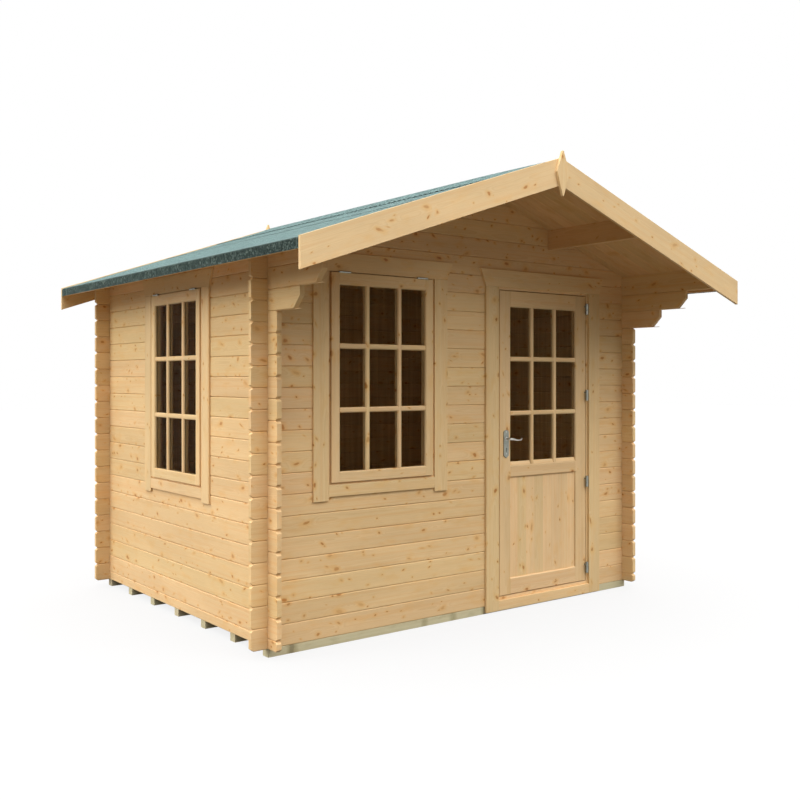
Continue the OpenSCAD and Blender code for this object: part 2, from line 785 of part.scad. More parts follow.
// Lock plate with an arched head and a pointed foot, against the face at y.
module lock_plate(y) {
    side = plate_w / 2;
    shoulder = spindle_drop - plate_arch;
    foot = spindle_drop - plate_h;
    arch_r = (side * side + plate_arch * plate_arch) / (2 * plate_arch);
    translate([spindle_x, y, lever_z]) difference() {
        union() {
            intersection() {
                translate([0, 0, spindle_drop - arch_r]) rotate([-90, 0, 0])
                    cylinder(r = arch_r, h = plate_t);
                block([-side, 0, 0], [side, plate_t, spindle_drop]);
            }
            slab_y([[side, shoulder], [-side, shoulder], [-side, foot + plate_point], [0, foot],
                    [side, foot + plate_point]], 0, plate_t);
        }
        translate([0, -eps, 0]) rotate([-90, 0, 0])
            cylinder(r = neck_r + pin_gap, h = plate_t + 2 * eps);
        translate([0, -eps, -keyhole_drop]) {
            rotate([-90, 0, 0]) cylinder(r = keyhole_r, h = plate_t + 2 * eps);
            translate([-keyhole_w / 2, 0, -keyhole_l])
                cube([keyhole_w, plate_t + 2 * eps, keyhole_l]);
        }
    }
}

module door_lock_plates() color("silver")
    at_door() {
        lock_plate(leaf_face - plate_t);
        lock_plate(leaf_back);
    }

// Round rod with a slightly thicker round far end, from one point to another in the X-Z plane.
module rod(from, to, r) {
    run = to - from;
    translate([from[0], 0, from[1]]) rotate([0, atan2(run[0], run[1]), 0]) {
        cylinder(r = r - lever_swell, h = norm(run));
        translate([0, 0, norm(run)]) sphere(r = r);
    }
}

// Lever that dips and rises again to its tip.
module lever() {
    dip_start = [lever_l * 0.5, -lever_dip];
    dip_end = [lever_l * 0.8, -lever_dip];
    rod([0, 0], dip_start, lever_r);
    rod(dip_start, dip_end, lever_r);
    rod(dip_end, [lever_l - lever_r, 0], lever_r);
}

// Levers outside and inside on one neck through the leaf.
module door_handle() color("silver")
    at_door() translate([spindle_x, 0, lever_z]) {
        out = leaf_face - lever_out;
        inside = leaf_back + lever_out;
        translate([0, out, 0]) rotate([-90, 0, 0]) cylinder(r = neck_r, h = inside - out);
        for (y = [out, inside]) translate([0, y, 0]) {
            sphere(r = neck_r);
            lever();
        }
    }

floor_bearers();
floor();
front_wall_left();
front_wall_right();
front_gable();
left_wall();
right_wall();
back_wall();
back_gable();
ridge_purlin();
left_purlin();
right_purlin();
left_roof_boards();
right_roof_boards();
left_roof_felt();
right_roof_felt();
left_eave_batten();
right_eave_batten();
front_left_bargeboard();
front_right_bargeboard();
back_left_bargeboard();
back_right_bargeboard();
front_finial();
back_finial();
front_window_frame();
front_window_casing();
front_window_sash();
front_window_glass();
front_window_hinges();
side_window_frame();
side_window_casing();
side_window_sash();
side_window_glass();
side_window_hinges();
door_frame();
door_casing();
door_leaf();
door_panel();
door_glass();
door_frame_hinges();
door_leaf_hinges();
door_lock_plates();
door_handle();
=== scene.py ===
"""Looks of the log cabin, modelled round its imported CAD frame.

Metres, in the frame's axes: +X right, +Y back, +Z up. Every timber is a board of its own, cut from
the CAD solids or laid in their place, with its edges softened and its grain along it. Felt, nails
and levers are modelled over the places that the frame gives.
"""

import json
import math
import random

import bmesh
import bpy
import numpy as np
from mathutils import Matrix, Vector


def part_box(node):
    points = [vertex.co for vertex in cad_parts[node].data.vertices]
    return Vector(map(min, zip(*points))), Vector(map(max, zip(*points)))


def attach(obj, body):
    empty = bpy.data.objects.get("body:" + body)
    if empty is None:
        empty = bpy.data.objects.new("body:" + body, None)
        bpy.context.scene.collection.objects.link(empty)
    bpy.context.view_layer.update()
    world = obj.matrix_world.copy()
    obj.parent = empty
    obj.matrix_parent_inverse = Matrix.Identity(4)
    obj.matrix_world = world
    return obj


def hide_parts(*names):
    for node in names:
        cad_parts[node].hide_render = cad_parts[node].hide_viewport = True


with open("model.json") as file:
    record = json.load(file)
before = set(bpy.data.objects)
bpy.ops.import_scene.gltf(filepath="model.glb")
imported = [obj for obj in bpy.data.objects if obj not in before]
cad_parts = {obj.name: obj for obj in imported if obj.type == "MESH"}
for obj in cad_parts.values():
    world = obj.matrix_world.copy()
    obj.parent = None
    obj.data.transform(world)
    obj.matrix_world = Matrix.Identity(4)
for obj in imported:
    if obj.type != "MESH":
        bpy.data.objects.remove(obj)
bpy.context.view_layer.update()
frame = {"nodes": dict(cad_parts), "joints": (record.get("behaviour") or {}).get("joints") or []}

X, Y, Z = Vector((1, 0, 0)), Vector((0, 1, 0)), Vector((0, 0, 1))
MM = 0.001

# ---------- places read from the frame ----------

SAME_PLACE = 0.1 * MM


def heights_at(node, x):
    """Lowest and highest point of a CAD node at distance x right of the ridge line."""
    vertices = frame["nodes"][node].data.vertices
    found = [v.co.z for v in vertices if abs(v.co.x - x) < SAME_PLACE]
    return min(found), max(found)


def joint_place(name):
    """Where a joint's axis passes, in the frame's axes."""
    return Vector(next(j["pos_m"] for j in frame["joints"] if j["name"] == name))


BOARDS_LOW, BOARDS_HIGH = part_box("right_roof_boards")
FELT_LOW, FELT_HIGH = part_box("right_roof_felt")
FELT_EDGE, FELT_FOOT = FELT_HIGH.x, FELT_LOW.z
BOARD_HALF = BOARDS_HIGH.x
RIDGE_UNDER, RIDGE_TOP = heights_at("right_roof_boards", 0)
EAVE_UNDER = heights_at("right_roof_boards", BOARD_HALF)[0]
FALL = (RIDGE_UNDER - EAVE_UNDER) / BOARD_HALF  # drop of the roof per metre out from the ridge
PITCH = math.atan(FALL)
ROOF_RISE = RIDGE_TOP - RIDGE_UNDER
ROOF_FRONT, ROOF_BACK = BOARDS_LOW.y, BOARDS_HIGH.y

# ---------- sizes that the CAD leaves to the looks, or that its boxes don't give ----------

GROOVE = 8 * MM  # how far a pane or the panel sits in its groove
BAR_W = 30 * MM  # width of a glazing bar
SASH_BAR_X = 112 * MM  # from a window's middle line to those of its upright bars
BEAD_H = 24 * MM
KEYHOLE_DROP = 63 * MM  # from the lever's axis down to the middle of the keyhole's bore
KEYHOLE_R = 4 * MM
KEYHOLE_L = 19 * MM
EDGE = 1.2 * MM  # softened edge of a planed board
JOINERY_EDGE = 0.7 * MM
BAR_ROUND = 2.4 * MM  # rounding along a glazing bar
STILE_ROUND = 3.0 * MM  # rounding along a sash's or leaf's stiles and rails
FAR = 9.0  # further than anything reaches
WELD = 0.01 * MM  # points closer than this are one
SHARP = math.radians(20)  # edges sharper than this are rounded on timber
RIM = math.radians(60)  # edges sharper than this are rounded on steel
FLAT = math.radians(0.5)  # faces closer than this are one flat face
SMOOTH = math.radians(35)  # edges blunter than this are shaded smooth on metal and felt
PARALLEL = 0.01  # sine of the angle below which two directions are one

# ---------- mesh helpers ----------


def welded(node):
    """A CAD node's mesh with its split corners joined up again."""
    bm = bmesh.new()
    bm.from_mesh(frame["nodes"][node].data)
    bmesh.ops.remove_doubles(bm, verts=bm.verts, dist=WELD)
    return bm


def solids(bm):
    """The separate solids of a mesh, each as a bmesh of its own."""
    bm.verts.index_update()
    owner = [-1] * len(bm.verts)
    count = 0
    for start in bm.verts:
        if owner[start.index] >= 0:
            continue
        owner[start.index] = count
        waiting = [start]
        while waiting:
            for edge in waiting.pop().link_edges:
                for vert in edge.verts:
                    if owner[vert.index] < 0:
                        owner[vert.index] = count
                        waiting.append(vert)
        count += 1
    made = []
    for n in range(count):
        part = bm.copy()
        part.verts.ensure_lookup_table()
        others = [v for v in part.verts if owner[v.index] != n]
        bmesh.ops.delete(part, geom=others, context="VERTS")
        made.append(part)
    return made


def block(low, high):
    """A box between two corners, as a bmesh."""
    bm = bmesh.new()
    bmesh.ops.create_cube(bm, size=1)
    low, high = Vector(low), Vector(high)
    for v in bm.verts:
        v.co = Vector(low[i] + (v.co[i] + 0.5) * (high[i] - low[i]) for i in range(3))
    return bm


def bevel(bm, edges, width, segments):
    """Rounds edges to a radius of width."""
    bmesh.ops.bevel(
        bm, geom=edges, offset=width, offset_type="OFFSET", segments=segments,
        profile=0.5, affect="EDGES", clamp_overlap=True,
    )


def flattened(bm):
    """Makes flat faces whole."""
    bmesh.ops.dissolve_limit(bm, angle_limit=FLAT, verts=bm.verts, edges=bm.edges)


def sharper_than(bm, angle):
    """The edges where two faces meet at more than an angle."""
    return [e for e in bm.edges if e.is_manifold and e.calc_face_angle(0) > angle]


def runs_along(edge, along):
    """Whether an edge runs along an axis."""
    run = (edge.verts[1].co - edge.verts[0].co).normalized()
    return run.cross(along).length < PARALLEL


def soften(bm, width, along=None, along_width=0):
    """Rounds the sharp edges of a board, those along its grain by along_width if it is given."""
    flattened(bm)
    if along_width:
        edges = [e for e in sharper_than(bm, SHARP) if runs_along(e, along)]
        bevel(bm, edges, along_width, 3)
    bevel(bm, sharper_than(bm, SHARP), width, 2)


def as_mesh(name, bm):
    """A bmesh, used up, as a mesh."""
    mesh = bpy.data.meshes.new(name)
    bm.to_mesh(mesh)
    bm.free()
    return mesh


def placed(name, data):
    """A new object in the scene."""
    obj = bpy.data.objects.new(name, data)
    bpy.context.scene.collection.objects.link(obj)
    return obj


def combined(a, b, operation):
    """The Boolean of two bmeshes, both used up, as a new one."""
    first, second = placed("first", as_mesh("first", a)), placed("second", as_mesh("second", b))
    modifier = first.modifiers.new("boolean", "BOOLEAN")
    modifier.operation = operation
    modifier.solver = "MANIFOLD"
    modifier.object = second
    bpy.context.view_layer.update()
    result = bmesh.new()
    result.from_object(first, bpy.context.evaluated_depsgraph_get())
    for obj in (first, second):
        mesh = obj.data
        bpy.data.objects.remove(obj)
        bpy.data.meshes.remove(mesh)
    return result


def inside(solid, low, high):
    """What a solid has between two corners, as a new bmesh."""
    return combined(solid.copy(), block(low, high), "INTERSECT")


GRAIN_RUN = 60  # metres of grain that the boards take their lengths from
PITH_ASIDE = 0.05  # how far to either side of a board's middle its pith lies at most
PITH_DEPTH = (0.02, 0.07)  # how far above or below its middle
CUTS_FROM = 0.3  # how squarely a face cuts the grain, from which it shows as end grain
CUTS_RANGE = 0.5


class Board:
    """One timber: its mesh, and for each point its place along, across and through the grain.

    The seed puts the pith of the tree it was sawn from, and its tone. ends tells for each face
    from 0 to 1 how squarely it cuts the grain."""

    def __init__(self, bm, along, seed, width=EDGE, along_width=0):
        spans = {i: np.ptp([v.co[i] for v in bm.verts]) for i in range(3)}
        if along is None:
            along = (X, Y, Z)[max(spans, key=spans.get)]
        soften(bm, width, along, along_width)
        bm.verts.index_update()
        bm.normal_update()
        self.points = np.array([v.co for v in bm.verts], float)
        self.faces = [[v.index for v in f.verts] for f in bm.faces]
        square = [abs(f.normal.dot(along)) for f in bm.faces]
        self.ends = np.clip((np.array(square) - CUTS_FROM) / CUTS_RANGE, 0, 1)
        bm.free()
        level = [i for i in range(3) if abs(along[i]) < PARALLEL]
        through = (X, Y, Z)[min(level, key=spans.get)]
        across = along.cross(through)
        dice = random.Random(seed)
        lengthwise = self.points @ np.array(along) + dice.uniform(0, GRAIN_RUN)
        sideways = self.points @ np.array(across)
        depth = self.points @ np.array(through)
        sideways -= (sideways.min() + sideways.max()) / 2 + dice.uniform(-PITH_ASIDE, PITH_ASIDE)
        depth -= (depth.min() + depth.max()) / 2 + dice.choice((-1, 1)) * dice.uniform(*PITH_DEPTH)
        self.grain = np.stack([lengthwise, sideways, depth], axis=1)
        self.tone = np.full(len(self.points), dice.random())


def piece(name, mesh, body, nodes):
    """A visible object that rides on its body and stands for the CAD nodes named."""
    obj = placed(name, mesh)
    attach(obj, body)
    if nodes:
        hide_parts(*nodes)


def timber_piece(name, boards, material, body="cabin", nodes=()):
    """One object made of boards."""
    points = np.concatenate([b.points for b in boards])
    starts = np.cumsum([0] + [len(b.points) for b in boards])
    faces = [
        [i + int(start) for i in face] for b, start in zip(boards, starts) for face in b.faces
    ]
    mesh = bpy.data.meshes.new(name)
    mesh.from_pydata(points.tolist(), [], faces)
    for title, kind, domain, key in (
        ("grain", "FLOAT_VECTOR", "POINT", "vector"),
        ("tone", "FLOAT", "POINT", "value"),
        ("ends", "FLOAT", "FACE", "value"),
    ):
        values = np.concatenate([getattr(b, title) for b in boards]).astype(np.float32)
        mesh.attributes.new(title, kind, domain).data.foreach_set(key, values.ravel())
    mesh.materials.append(material)
    piece(name, mesh, body, nodes)


def smooth_piece(name, bm, material, body="cabin", nodes=()):
    """One object of metal or felt, shaded smooth except over its sharp edges."""
    mesh = as_mesh(name, bm)
    mesh.shade_smooth()
    mesh.set_sharp_from_angle(angle=SMOOTH)
    mesh.materials.append(material)
    piece(name, mesh, body, nodes)


def merged(parts):
    """Several bmeshes, all used up, as one."""
    whole = bpy.data.meshes.new("whole")
    result = bmesh.new()
    for part in parts:
        part.to_mesh(whole)
        part.free()
        result.from_mesh(whole)
    bpy.data.meshes.remove(whole)
    return result


def close_rings(bm, rings):
    """Joins rings of equally many points into a closed solid."""
    for a, b in zip(rings, rings[1:]):
        for i in range(len(a)):
            j = (i + 1) % len(a)
            bm.faces.new((a[i], a[j], b[j], b[i]))
    bm.faces.new(rings[0][::-1])
    bm.faces.new(rings[-1])
    bmesh.ops.recalc_face_normals(bm, faces=bm.faces)
    return bm


def lathe(profile, axis, place, sides=32):
    """A solid turned round an axis through place. profile is a list of (distance along, radius)."""
    bm = bmesh.new()
    turn = Z.rotation_difference(Vector(axis)).to_matrix()
    rings = []
    for along, radius in profile:
        ring = []
        for i in range(sides):
            a = 2 * math.pi * i / sides
            spot = Vector((radius * math.cos(a), radius * math.sin(a), along))
            ring.append(bm.verts.new(Vector(place) + turn @ spot))
        rings.append(ring)
    return close_rings(bm, rings)


# ---------- material nodes ----------

# Noise scales are repeats per metre, and bump distances metres.


class Graph:
    """The nodes of a material or world, each made with one call."""

    def __init__(self, owner):
        self.owner = owner
        owner.use_nodes = True
        self.tree = owner.node_tree
        self.tree.nodes.clear()

    def node(self, kind, inputs=None, **settings):
        """A node with its properties set and its inputs filled with numbers or other sockets."""
        made = self.tree.nodes.new("ShaderNode" + kind)
        for name, value in settings.items():
            setattr(made, name, value)
        for key, value in (inputs or {}).items():
            if isinstance(value, bpy.types.NodeSocket):
                self.tree.links.new(value, made.inputs[key])
            else:
                made.inputs[key].default_value = value
        return made

    def math(self, operation, *values):
        return self.node("Math", dict(enumerate(values)), operation=operation).outputs[0]

    def scaled(self, vector, factors):
        return self.node("VectorMath", {0: vector, 1: factors}, operation="MULTIPLY").outputs[0]

    def added(self, a, b):
        return self.node("VectorMath", {0: a, 1: b}, operation="ADD").outputs[0]

    def attribute(self, name):
        return self.node("Attribute", attribute_name=name)

    def noise(self, vector, scale, detail=2.0, output="Fac"):
        inputs = {"Vector": vector, "Scale": scale, "Detail": detail}
        return self.node("TexNoise", inputs).outputs[output]

    def cells(self, vector, scale, dimensions="3D"):
        """A pattern of cells: the distance from a cell's middle, and three numbers for each."""
        inputs = {"Vector": vector, "Scale": scale}
        made = self.node("TexVoronoi", inputs, voronoi_dimensions=dimensions, feature="F1")
        chances = self.node("SeparateColor", {0: made.outputs["Color"]}).outputs
        return made.outputs["Distance"], chances

    def ramp(self, value, low, high, to_low=0.0, to_high=1.0):
        """value eased from to_low at low to to_high at high."""
        inputs = dict(enumerate((value, low, high, to_low, to_high)))
        return self.node("MapRange", inputs, interpolation_type="SMOOTHSTEP").outputs[0]

    def mix(self, share, a, b, blend="MIX"):
        """Two colours mixed. The node's colours are its inputs 6 and 7 and its output 2."""
        inputs = {0: share, 6: a, 7: b}
        made = self.node("Mix", inputs, data_type="RGBA", blend_type=blend)
        return made.outputs[2]

    def times(self, colour, factor):
        """A colour multiplied by a number."""
        grey = self.node("CombineColor", {0: factor, 1: factor, 2: factor})
        return self.mix(1.0, colour, grey.outputs[0], "MULTIPLY")

    def bump(self, height, strength, distance):
        inputs = {"Height": height, "Strength": strength, "Distance": distance}
        return self.node("Bump", inputs).outputs[0]

    def principled(self, inputs):
        """A Principled shader."""
        return self.node("BsdfPrincipled", inputs).outputs[0]

    def output(self, shader, kind="OutputMaterial"):
        """Ends the nodes in a shader, and returns the material or world that they belong to."""
        self.node(kind, {"Surface": shader})
        return self.owner


def rgb(*values):
    """A linear colour with full alpha."""
    return (*values, 1.0)


def knots_in(g, grain, cell, share, small, large):
    """Knots in a share of the cells of a pattern laid along the board: their core, halo and swell.

    cell is the cells' length and height, and small and large the radii in cells."""
    place = g.scaled(grain, (1 / cell[0], 1 / cell[1], 0.0))
    distance, chances = g.cells(place, 1.0, "2D")
    reach = g.math("DIVIDE", distance, g.ramp(chances[0], 0.0, 1.0, small, large))
    there = g.math("LESS_THAN", chances[1], share)
    depth = g.math("MULTIPLY", there, g.ramp(chances[2], 0.0, 1.0, 0.35, 1.0))
    core = g.math("MULTIPLY", depth, g.ramp(reach, 1.3, 0.5))
    halo = g.math("MULTIPLY", there, g.ramp(reach, 3.2, 0.8))
    swell = g.math("MULTIPLY", there, g.ramp(reach, 6.0, 0.5, 0.0, 0.007))
    return core, halo, swell


YEAR = 4.2 * MM  # width of a growth ring
RING_SHOW = 0.3  # how strongly the late wood's colour shows in the rings
KNOT_CELL = (0.150, 0.100)
PIN_CELL = (0.080, 0.050)
PIN_SHARE = 0.35  # pin knots in their cells, as a share of the knots in theirs


def wood(name, light, late, warm, halo, knot, knots=0.5, roughness=0.58, sawn=0.0):
    """Softwood: growth rings round the board's pith, knots that bend them, streaks and fibres.

    The colours are those of early and late wood, of warm streaks, and of a knot's rim and core.
    knots is the share of cells with a knot, and sawn the extra height of the fibres."""
    g = Graph(bpy.data.materials.new(name))
    grain = g.attribute("grain").outputs["Vector"]
    tone = g.attribute("tone").outputs["Fac"]
    ends = g.attribute("ends").outputs["Fac"]
    face = g.math("SUBTRACT", 1.0, ends)

    wander = g.noise(grain, 45.0, 1.0, "Color")
    crooked = g.added(grain, g.scaled(wander, (0.012, 0.008, 0.0)))
    drift = g.noise(g.scaled(grain, (3.0, 9.0, 0.0)), 1.0, 1.0, "Color")
    crooked = g.added(crooked, g.scaled(drift, (0.20, 0.06, 0.0)))
    core, rim, swell = knots_in(g, crooked, KNOT_CELL, knots, 0.040, 0.105)
    pin, pin_rim, _ = knots_in(g, crooked, PIN_CELL, knots * PIN_SHARE, 0.050, 0.110)
    core = g.math("MULTIPLY", g.math("MAXIMUM", core, pin), face)
    rim = g.math("MULTIPLY", g.math("MAXIMUM", rim, pin_rim), face)

    # Growth rings: distance from the pith, made uneven along the log and pushed round the knots.
    across = g.node("VectorMath", {0: g.scaled(grain, (0.0, 1.0, 1.0))}, operation="LENGTH")
    bend = g.noise(g.scaled(grain, (1.3, 3.0, 3.0)), 1.0, 2.0)
    distance = g.math("MULTIPLY_ADD", bend, 0.034, across.outputs["Value"])
    distance = g.math("ADD", distance, swell)
    years = g.math("FRACT", g.math("DIVIDE", distance, YEAR))
    ring = g.math("MULTIPLY", g.math("POWER", years, 2.5), g.ramp(years, 1.0, 0.93))

    streak = g.noise(g.scaled(grain, (0.7, 60.0, 60.0)), 1.0, 3.0)
    stain = g.noise(g.scaled(grain, (1.6, 9.0, 9.0)), 1.0, 2.0)
    blush = g.noise(g.scaled(grain, (7.0, 17.0, 17.0)), 1.0, 3.0)
    fibre = g.noise(g.scaled(grain, (14.0, 650.0, 650.0)), 1.0, 2.0)

    colour = g.mix(g.math("MULTIPLY", ring, RING_SHOW), light, late)
    colour = g.mix(g.ramp(streak, 0.45, 0.72, 0.0, 0.5), colour, warm)
    colour = g.mix(g.ramp(blush, 0.50, 0.78, 0.0, 0.45), colour, halo)
    colour = g.mix(g.math("MULTIPLY", rim, 0.6), colour, halo)
    colour = g.mix(core, colour, knot)
    brightness = g.math("MULTIPLY_ADD", tone, 0.11, 0.93)
    brightness = g.math("MULTIPLY", brightness, g.ramp(stain, 0.3, 0.7, 0.95, 1.03))
    brightness = g.math("MULTIPLY", brightness, g.ramp(fibre, 0.2, 0.8, 0.95, 1.04))
    colour = g.times(colour, brightness)
    hue = g.mix(
        g.math("FRACT", g.math("MULTIPLY", tone, 7.0)),
        rgb(0.98, 1.0, 0.95),
        rgb(1.0, 0.975, 0.98),
    )
    colour = g.mix(1.0, colour, hue, "MULTIPLY")

    rough = g.math("MULTIPLY_ADD", ring, -0.08, roughness)
    rough = g.math("MULTIPLY_ADD", core, -0.12, rough)
    relief = g.math("MULTIPLY_ADD", fibre, 0.35 + sawn, g.math("MULTIPLY", ring, 0.5))
    relief = g.math("MULTIPLY_ADD", core, 0.6, relief)
    inputs = {
        "Base Color": colour,
        "Roughness": rough,
        "Normal": g.bump(relief, 0.35, 0.0006),
        "Specular IOR Level": 0.2,
    }
    return g.output(g.principled(inputs))


BITUMEN = rgb(0.004, 0.008, 0.008)


def felt_material(name, dark, light, tuft, tufts, size, sheen, tint):
    """Mineral felt: slate granules bedded in bitumen, some of them pale, some washed away.

    dark and light are the granules' colours, and tuft the colour of the pale clumps, which take up
    the share tufts and are size wide."""
    g = Graph(bpy.data.materials.new(name))
    place = g.node("TexCoord").outputs["Object"]
    granule, (shade, _, _) = g.cells(place, 300.0)
    clump = g.cells(place, 1 / size)[1][0]
    patch = g.noise(place, 95.0, 3.0)
    blotch = g.noise(place, 48.0, 2.0)
    wash = g.noise(g.scaled(place, (8.0, 90.0, 90.0)), 1.0, 3.0)
    cloud = g.noise(place, 2.2, 2.0)
    colour = g.mix(shade, dark, light)
    colour = g.mix(g.ramp(cloud, 0.35, 0.7, 0.0, 0.2), colour, light)
    colour = g.mix(g.ramp(clump, 1.0 - tufts, 1.2 - tufts, 0.0, 0.85), colour, tuft)
    colour = g.mix(g.ramp(blotch, 0.52, 0.72, 0.0, 0.7), colour, tuft)
    colour = g.mix(g.ramp(patch, 0.42, 0.60, 0.0, 0.85), colour, BITUMEN)
    colour = g.mix(g.ramp(blotch, 0.48, 0.30, 0.0, 0.9), colour, BITUMEN)
    colour = g.times(colour, g.ramp(wash, 0.36, 0.64, 0.45, 1.75))
    lumps = g.math("MULTIPLY", patch, 0.8)
    lumps = g.math("MULTIPLY_ADD", granule, -1.0, lumps)
    lumps = g.math("MULTIPLY_ADD", blotch, 1.2, lumps)
    inputs = {
        "Base Color": colour,
        "Roughness": g.ramp(shade, 0.0, 1.0, 0.66, 0.82),
        "Normal": g.bump(lumps, 0.8, 0.0030),
        "Specular IOR Level": 0.08,
        "Sheen Weight": sheen,
        "Sheen Roughness": 0.35,
        "Sheen Tint": tint,
    }
    return g.output(g.principled(inputs))


TARNISH = 0.62  # how bright tarnished steel is beside clean steel


def metal_material(name, colour, roughness, streaks):
    """Steel with fine brushing and faint tarnish. streaks are the brushing's scales in X, Y, Z."""
    g = Graph(bpy.data.materials.new(name))
    place = g.node("TexCoord").outputs["Object"]
    brushing = g.noise(g.scaled(place, streaks), 1.0, 2.0)
    tarnish = g.noise(place, 60.0, 3.0)
    dull = rgb(*(c * TARNISH for c in colour))
    shade = g.mix(g.ramp(tarnish, 0.4, 0.75, 0.0, 0.4), rgb(*colour), dull)
    rough = g.math("MULTIPLY_ADD", brushing, 0.12, roughness)
    inputs = {
        "Base Color": shade,
        "Metallic": 1.0,
        "Roughness": g.math("MULTIPLY_ADD", tarnish, 0.08, rough),
        "Normal": g.bump(brushing, 0.12, 0.0003),
    }
    return g.output(g.principled(inputs))


def glass_material():
    """Float glass with faint run marks, darker where it is seen aslant.

    Lamp light passes it, so the room behind is lit, but dimmed and browned more than the pane's own
    tint: painted shade that keeps the room dark."""
    g = Graph(bpy.data.materials.new("pane_glass"))
    place = g.node("TexCoord").outputs["Object"]
    runs = g.noise(g.scaled(place, (60.0, 60.0, 1.5)), 1.0, 3.0)
    dust = g.noise(place, 35.0, 4.0)
    tint = g.mix(g.ramp(runs, 0.35, 0.7), rgb(0.57, 0.54, 0.48), rgb(0.66, 0.64, 0.58))
    slant = g.ramp(g.node("LayerWeight", {"Blend": 0.5}).outputs["Facing"], 0.35, 0.65)
    tint = g.mix(slant, tint, g.mix(1.0, tint, rgb(0.78, 0.76, 0.76), "MULTIPLY"))
    inputs = {
        "Base Color": tint,
        "Roughness": g.ramp(dust, 0.5, 0.8, 0.0, 0.04),
        "Transmission Weight": 1.0,
        "IOR": 1.03,
    }
    # Lamp light goes through darker and browner than the pane's tint: painted shade for the room
    # behind.
    clear = g.node("BsdfTransparent", {"Color": rgb(0.40, 0.31, 0.20)})
    shadow = g.node("LightPath").outputs["Is Shadow Ray"]
    both = g.node("MixShader", {0: shadow, 1: g.principled(inputs), 2: clear.outputs[0]})
    return g.output(both.outputs[0])


LOG = wood(
    "log_spruce",
    light=rgb(0.82, 0.58, 0.31),
    late=rgb(0.62, 0.34, 0.13),
    warm=rgb(0.78, 0.47, 0.21),
    halo=rgb(0.80, 0.46, 0.17),
    knot=rgb(0.52, 0.22, 0.060),
)
JOINERY = wood(
    "joinery_pine",
    light=rgb(0.84, 0.60, 0.33),
    late=rgb(0.64, 0.37, 0.15),
    warm=rgb(0.80, 0.50, 0.24),
    halo=rgb(0.82, 0.49, 0.19),
    knot=rgb(0.51, 0.21, 0.060),
    knots=0.36,
    roughness=0.52,
)
ROOF_WOOD = wood(
    "roof_spruce",
    light=rgb(0.76, 0.50, 0.25),
    late=rgb(0.55, 0.29, 0.10),
    warm=rgb(0.70, 0.40, 0.17),
    halo=rgb(0.62, 0.33, 0.10),
    knot=rgb(0.40, 0.15, 0.040),
    knots=0.12,
)
BARGE_WOOD = wood(
    "barge_spruce",
    light=rgb(0.84, 0.61, 0.34),
    late=rgb(0.66, 0.39, 0.17),
    warm=rgb(0.80, 0.52, 0.26),
    halo=rgb(0.83, 0.51, 0.21),
    knot=rgb(0.52, 0.22, 0.062),
    knots=0.38,
)
TREATED_WOOD = wood(
    "treated_pine",
    light=rgb(0.64, 0.57, 0.38),
    late=rgb(0.45, 0.40, 0.25),
    warm=rgb(0.56, 0.47, 0.29),
    halo=rgb(0.30, 0.24, 0.12),
    knot=rgb(0.12, 0.09, 0.05),
    roughness=0.75,
    sawn=0.5,
)
FLOOR_WOOD = wood(
    "floor_spruce",
    light=rgb(0.78, 0.54, 0.28),
    late=rgb(0.58, 0.33, 0.13),
    warm=rgb(0.74, 0.46, 0.20),
    halo=rgb(0.68, 0.38, 0.13),
    knot=rgb(0.38, 0.16, 0.050),
)
FELT = felt_material(
    "roof_felt",
    dark=rgb(0.011, 0.021, 0.020),
    light=rgb(0.038, 0.064, 0.060),
    tuft=rgb(0.150, 0.240, 0.226),
    tufts=0.45,
    size=8 * MM,
    sheen=0.80,
    tint=rgb(0.62, 0.93, 0.93),
)
# The flap's felt: the slopes' felt again, with darker granules and less sheen. This shaded copy is
# painted shade on the upright flap over the eave.
SHADED_FLAP_FELT = felt_material(
    "shaded_turned_felt",
    dark=rgb(0.001, 0.002, 0.001),
    light=rgb(0.008, 0.011, 0.008),
    tuft=rgb(0.125, 0.165, 0.145),
    tufts=0.35,
    size=9 * MM,
    sheen=0.32,
    tint=rgb(0.60, 0.90, 0.82),
)
STEEL = metal_material("satin_steel", (0.50, 0.50, 0.47), 0.24, (900.0, 900.0, 40.0))
PLATE_STEEL = metal_material("plate_steel", (0.29, 0.30, 0.26), 0.42, (900.0, 900.0, 40.0))
DARK_STEEL = metal_material("lock_steel", (0.05, 0.05, 0.05), 0.5, (300.0, 300.0, 300.0))
NAIL_STEEL = metal_material("galvanised_nail", (0.42, 0.43, 0.43), 0.45, (500.0, 500.0, 500.0))
GLASS = glass_material()

# ---------- logs, frames, casings and roof timbers: boards straight from the CAD solids ----------

SLOPES = {
    "right": Vector((math.cos(PITCH), 0, -math.sin(PITCH))),
    "left": Vector((math.cos(PITCH), 0, math.sin(PITCH))),
}


def timber(node, material, along=None, width=EDGE):
    """A CAD node's solids as boards with their grain along them."""
    parts = solids(welded(node))
    boards = [Board(part, along, f"{node} {n}", width) for n, part in enumerate(parts)]
    timber_piece(node + "_boards", boards, material, nodes=[node])


TONGUE_HALF = 5 * MM
TONGUE_BITE = 1.5 * MM  # how far a tongue reaches into the logs above and below its seam
TONGUE_SHORT = 12 * MM  # how far a tongue stops short of its log's ends
TONGUE_EDGE = 0.2 * MM


def tongues(walls, along):
    """Tongues inside the walls that close the seams between the logs."""
    boards = []
    foot = min(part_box(wall)[0].z for wall in walls)
    for wall in walls:
        for n, log in enumerate(solids(welded(wall))):
            low = Vector([min(v.co[i] for v in log.verts) for i in range(3)])
            high = Vector([max(v.co[i] for v in log.verts) for i in range(3)])
            log.free()
            if low.z < foot + TONGUE_BITE:
                continue
            middle = (low + high) / 2
            start, end = middle.copy(), middle.copy()
            for i in range(2):
                half = (high[i] - low[i]) / 2 - TONGUE_SHORT if along[i] else TONGUE_HALF
                start[i], end[i] = middle[i] - half, middle[i] + half
            start.z, end.z = low.z - TONGUE_BITE, low.z + TONGUE_BITE
            name = f"{wall} tongue {n}"
            boards.append(Board(block(start, end), along, name, TONGUE_EDGE))
    return boards


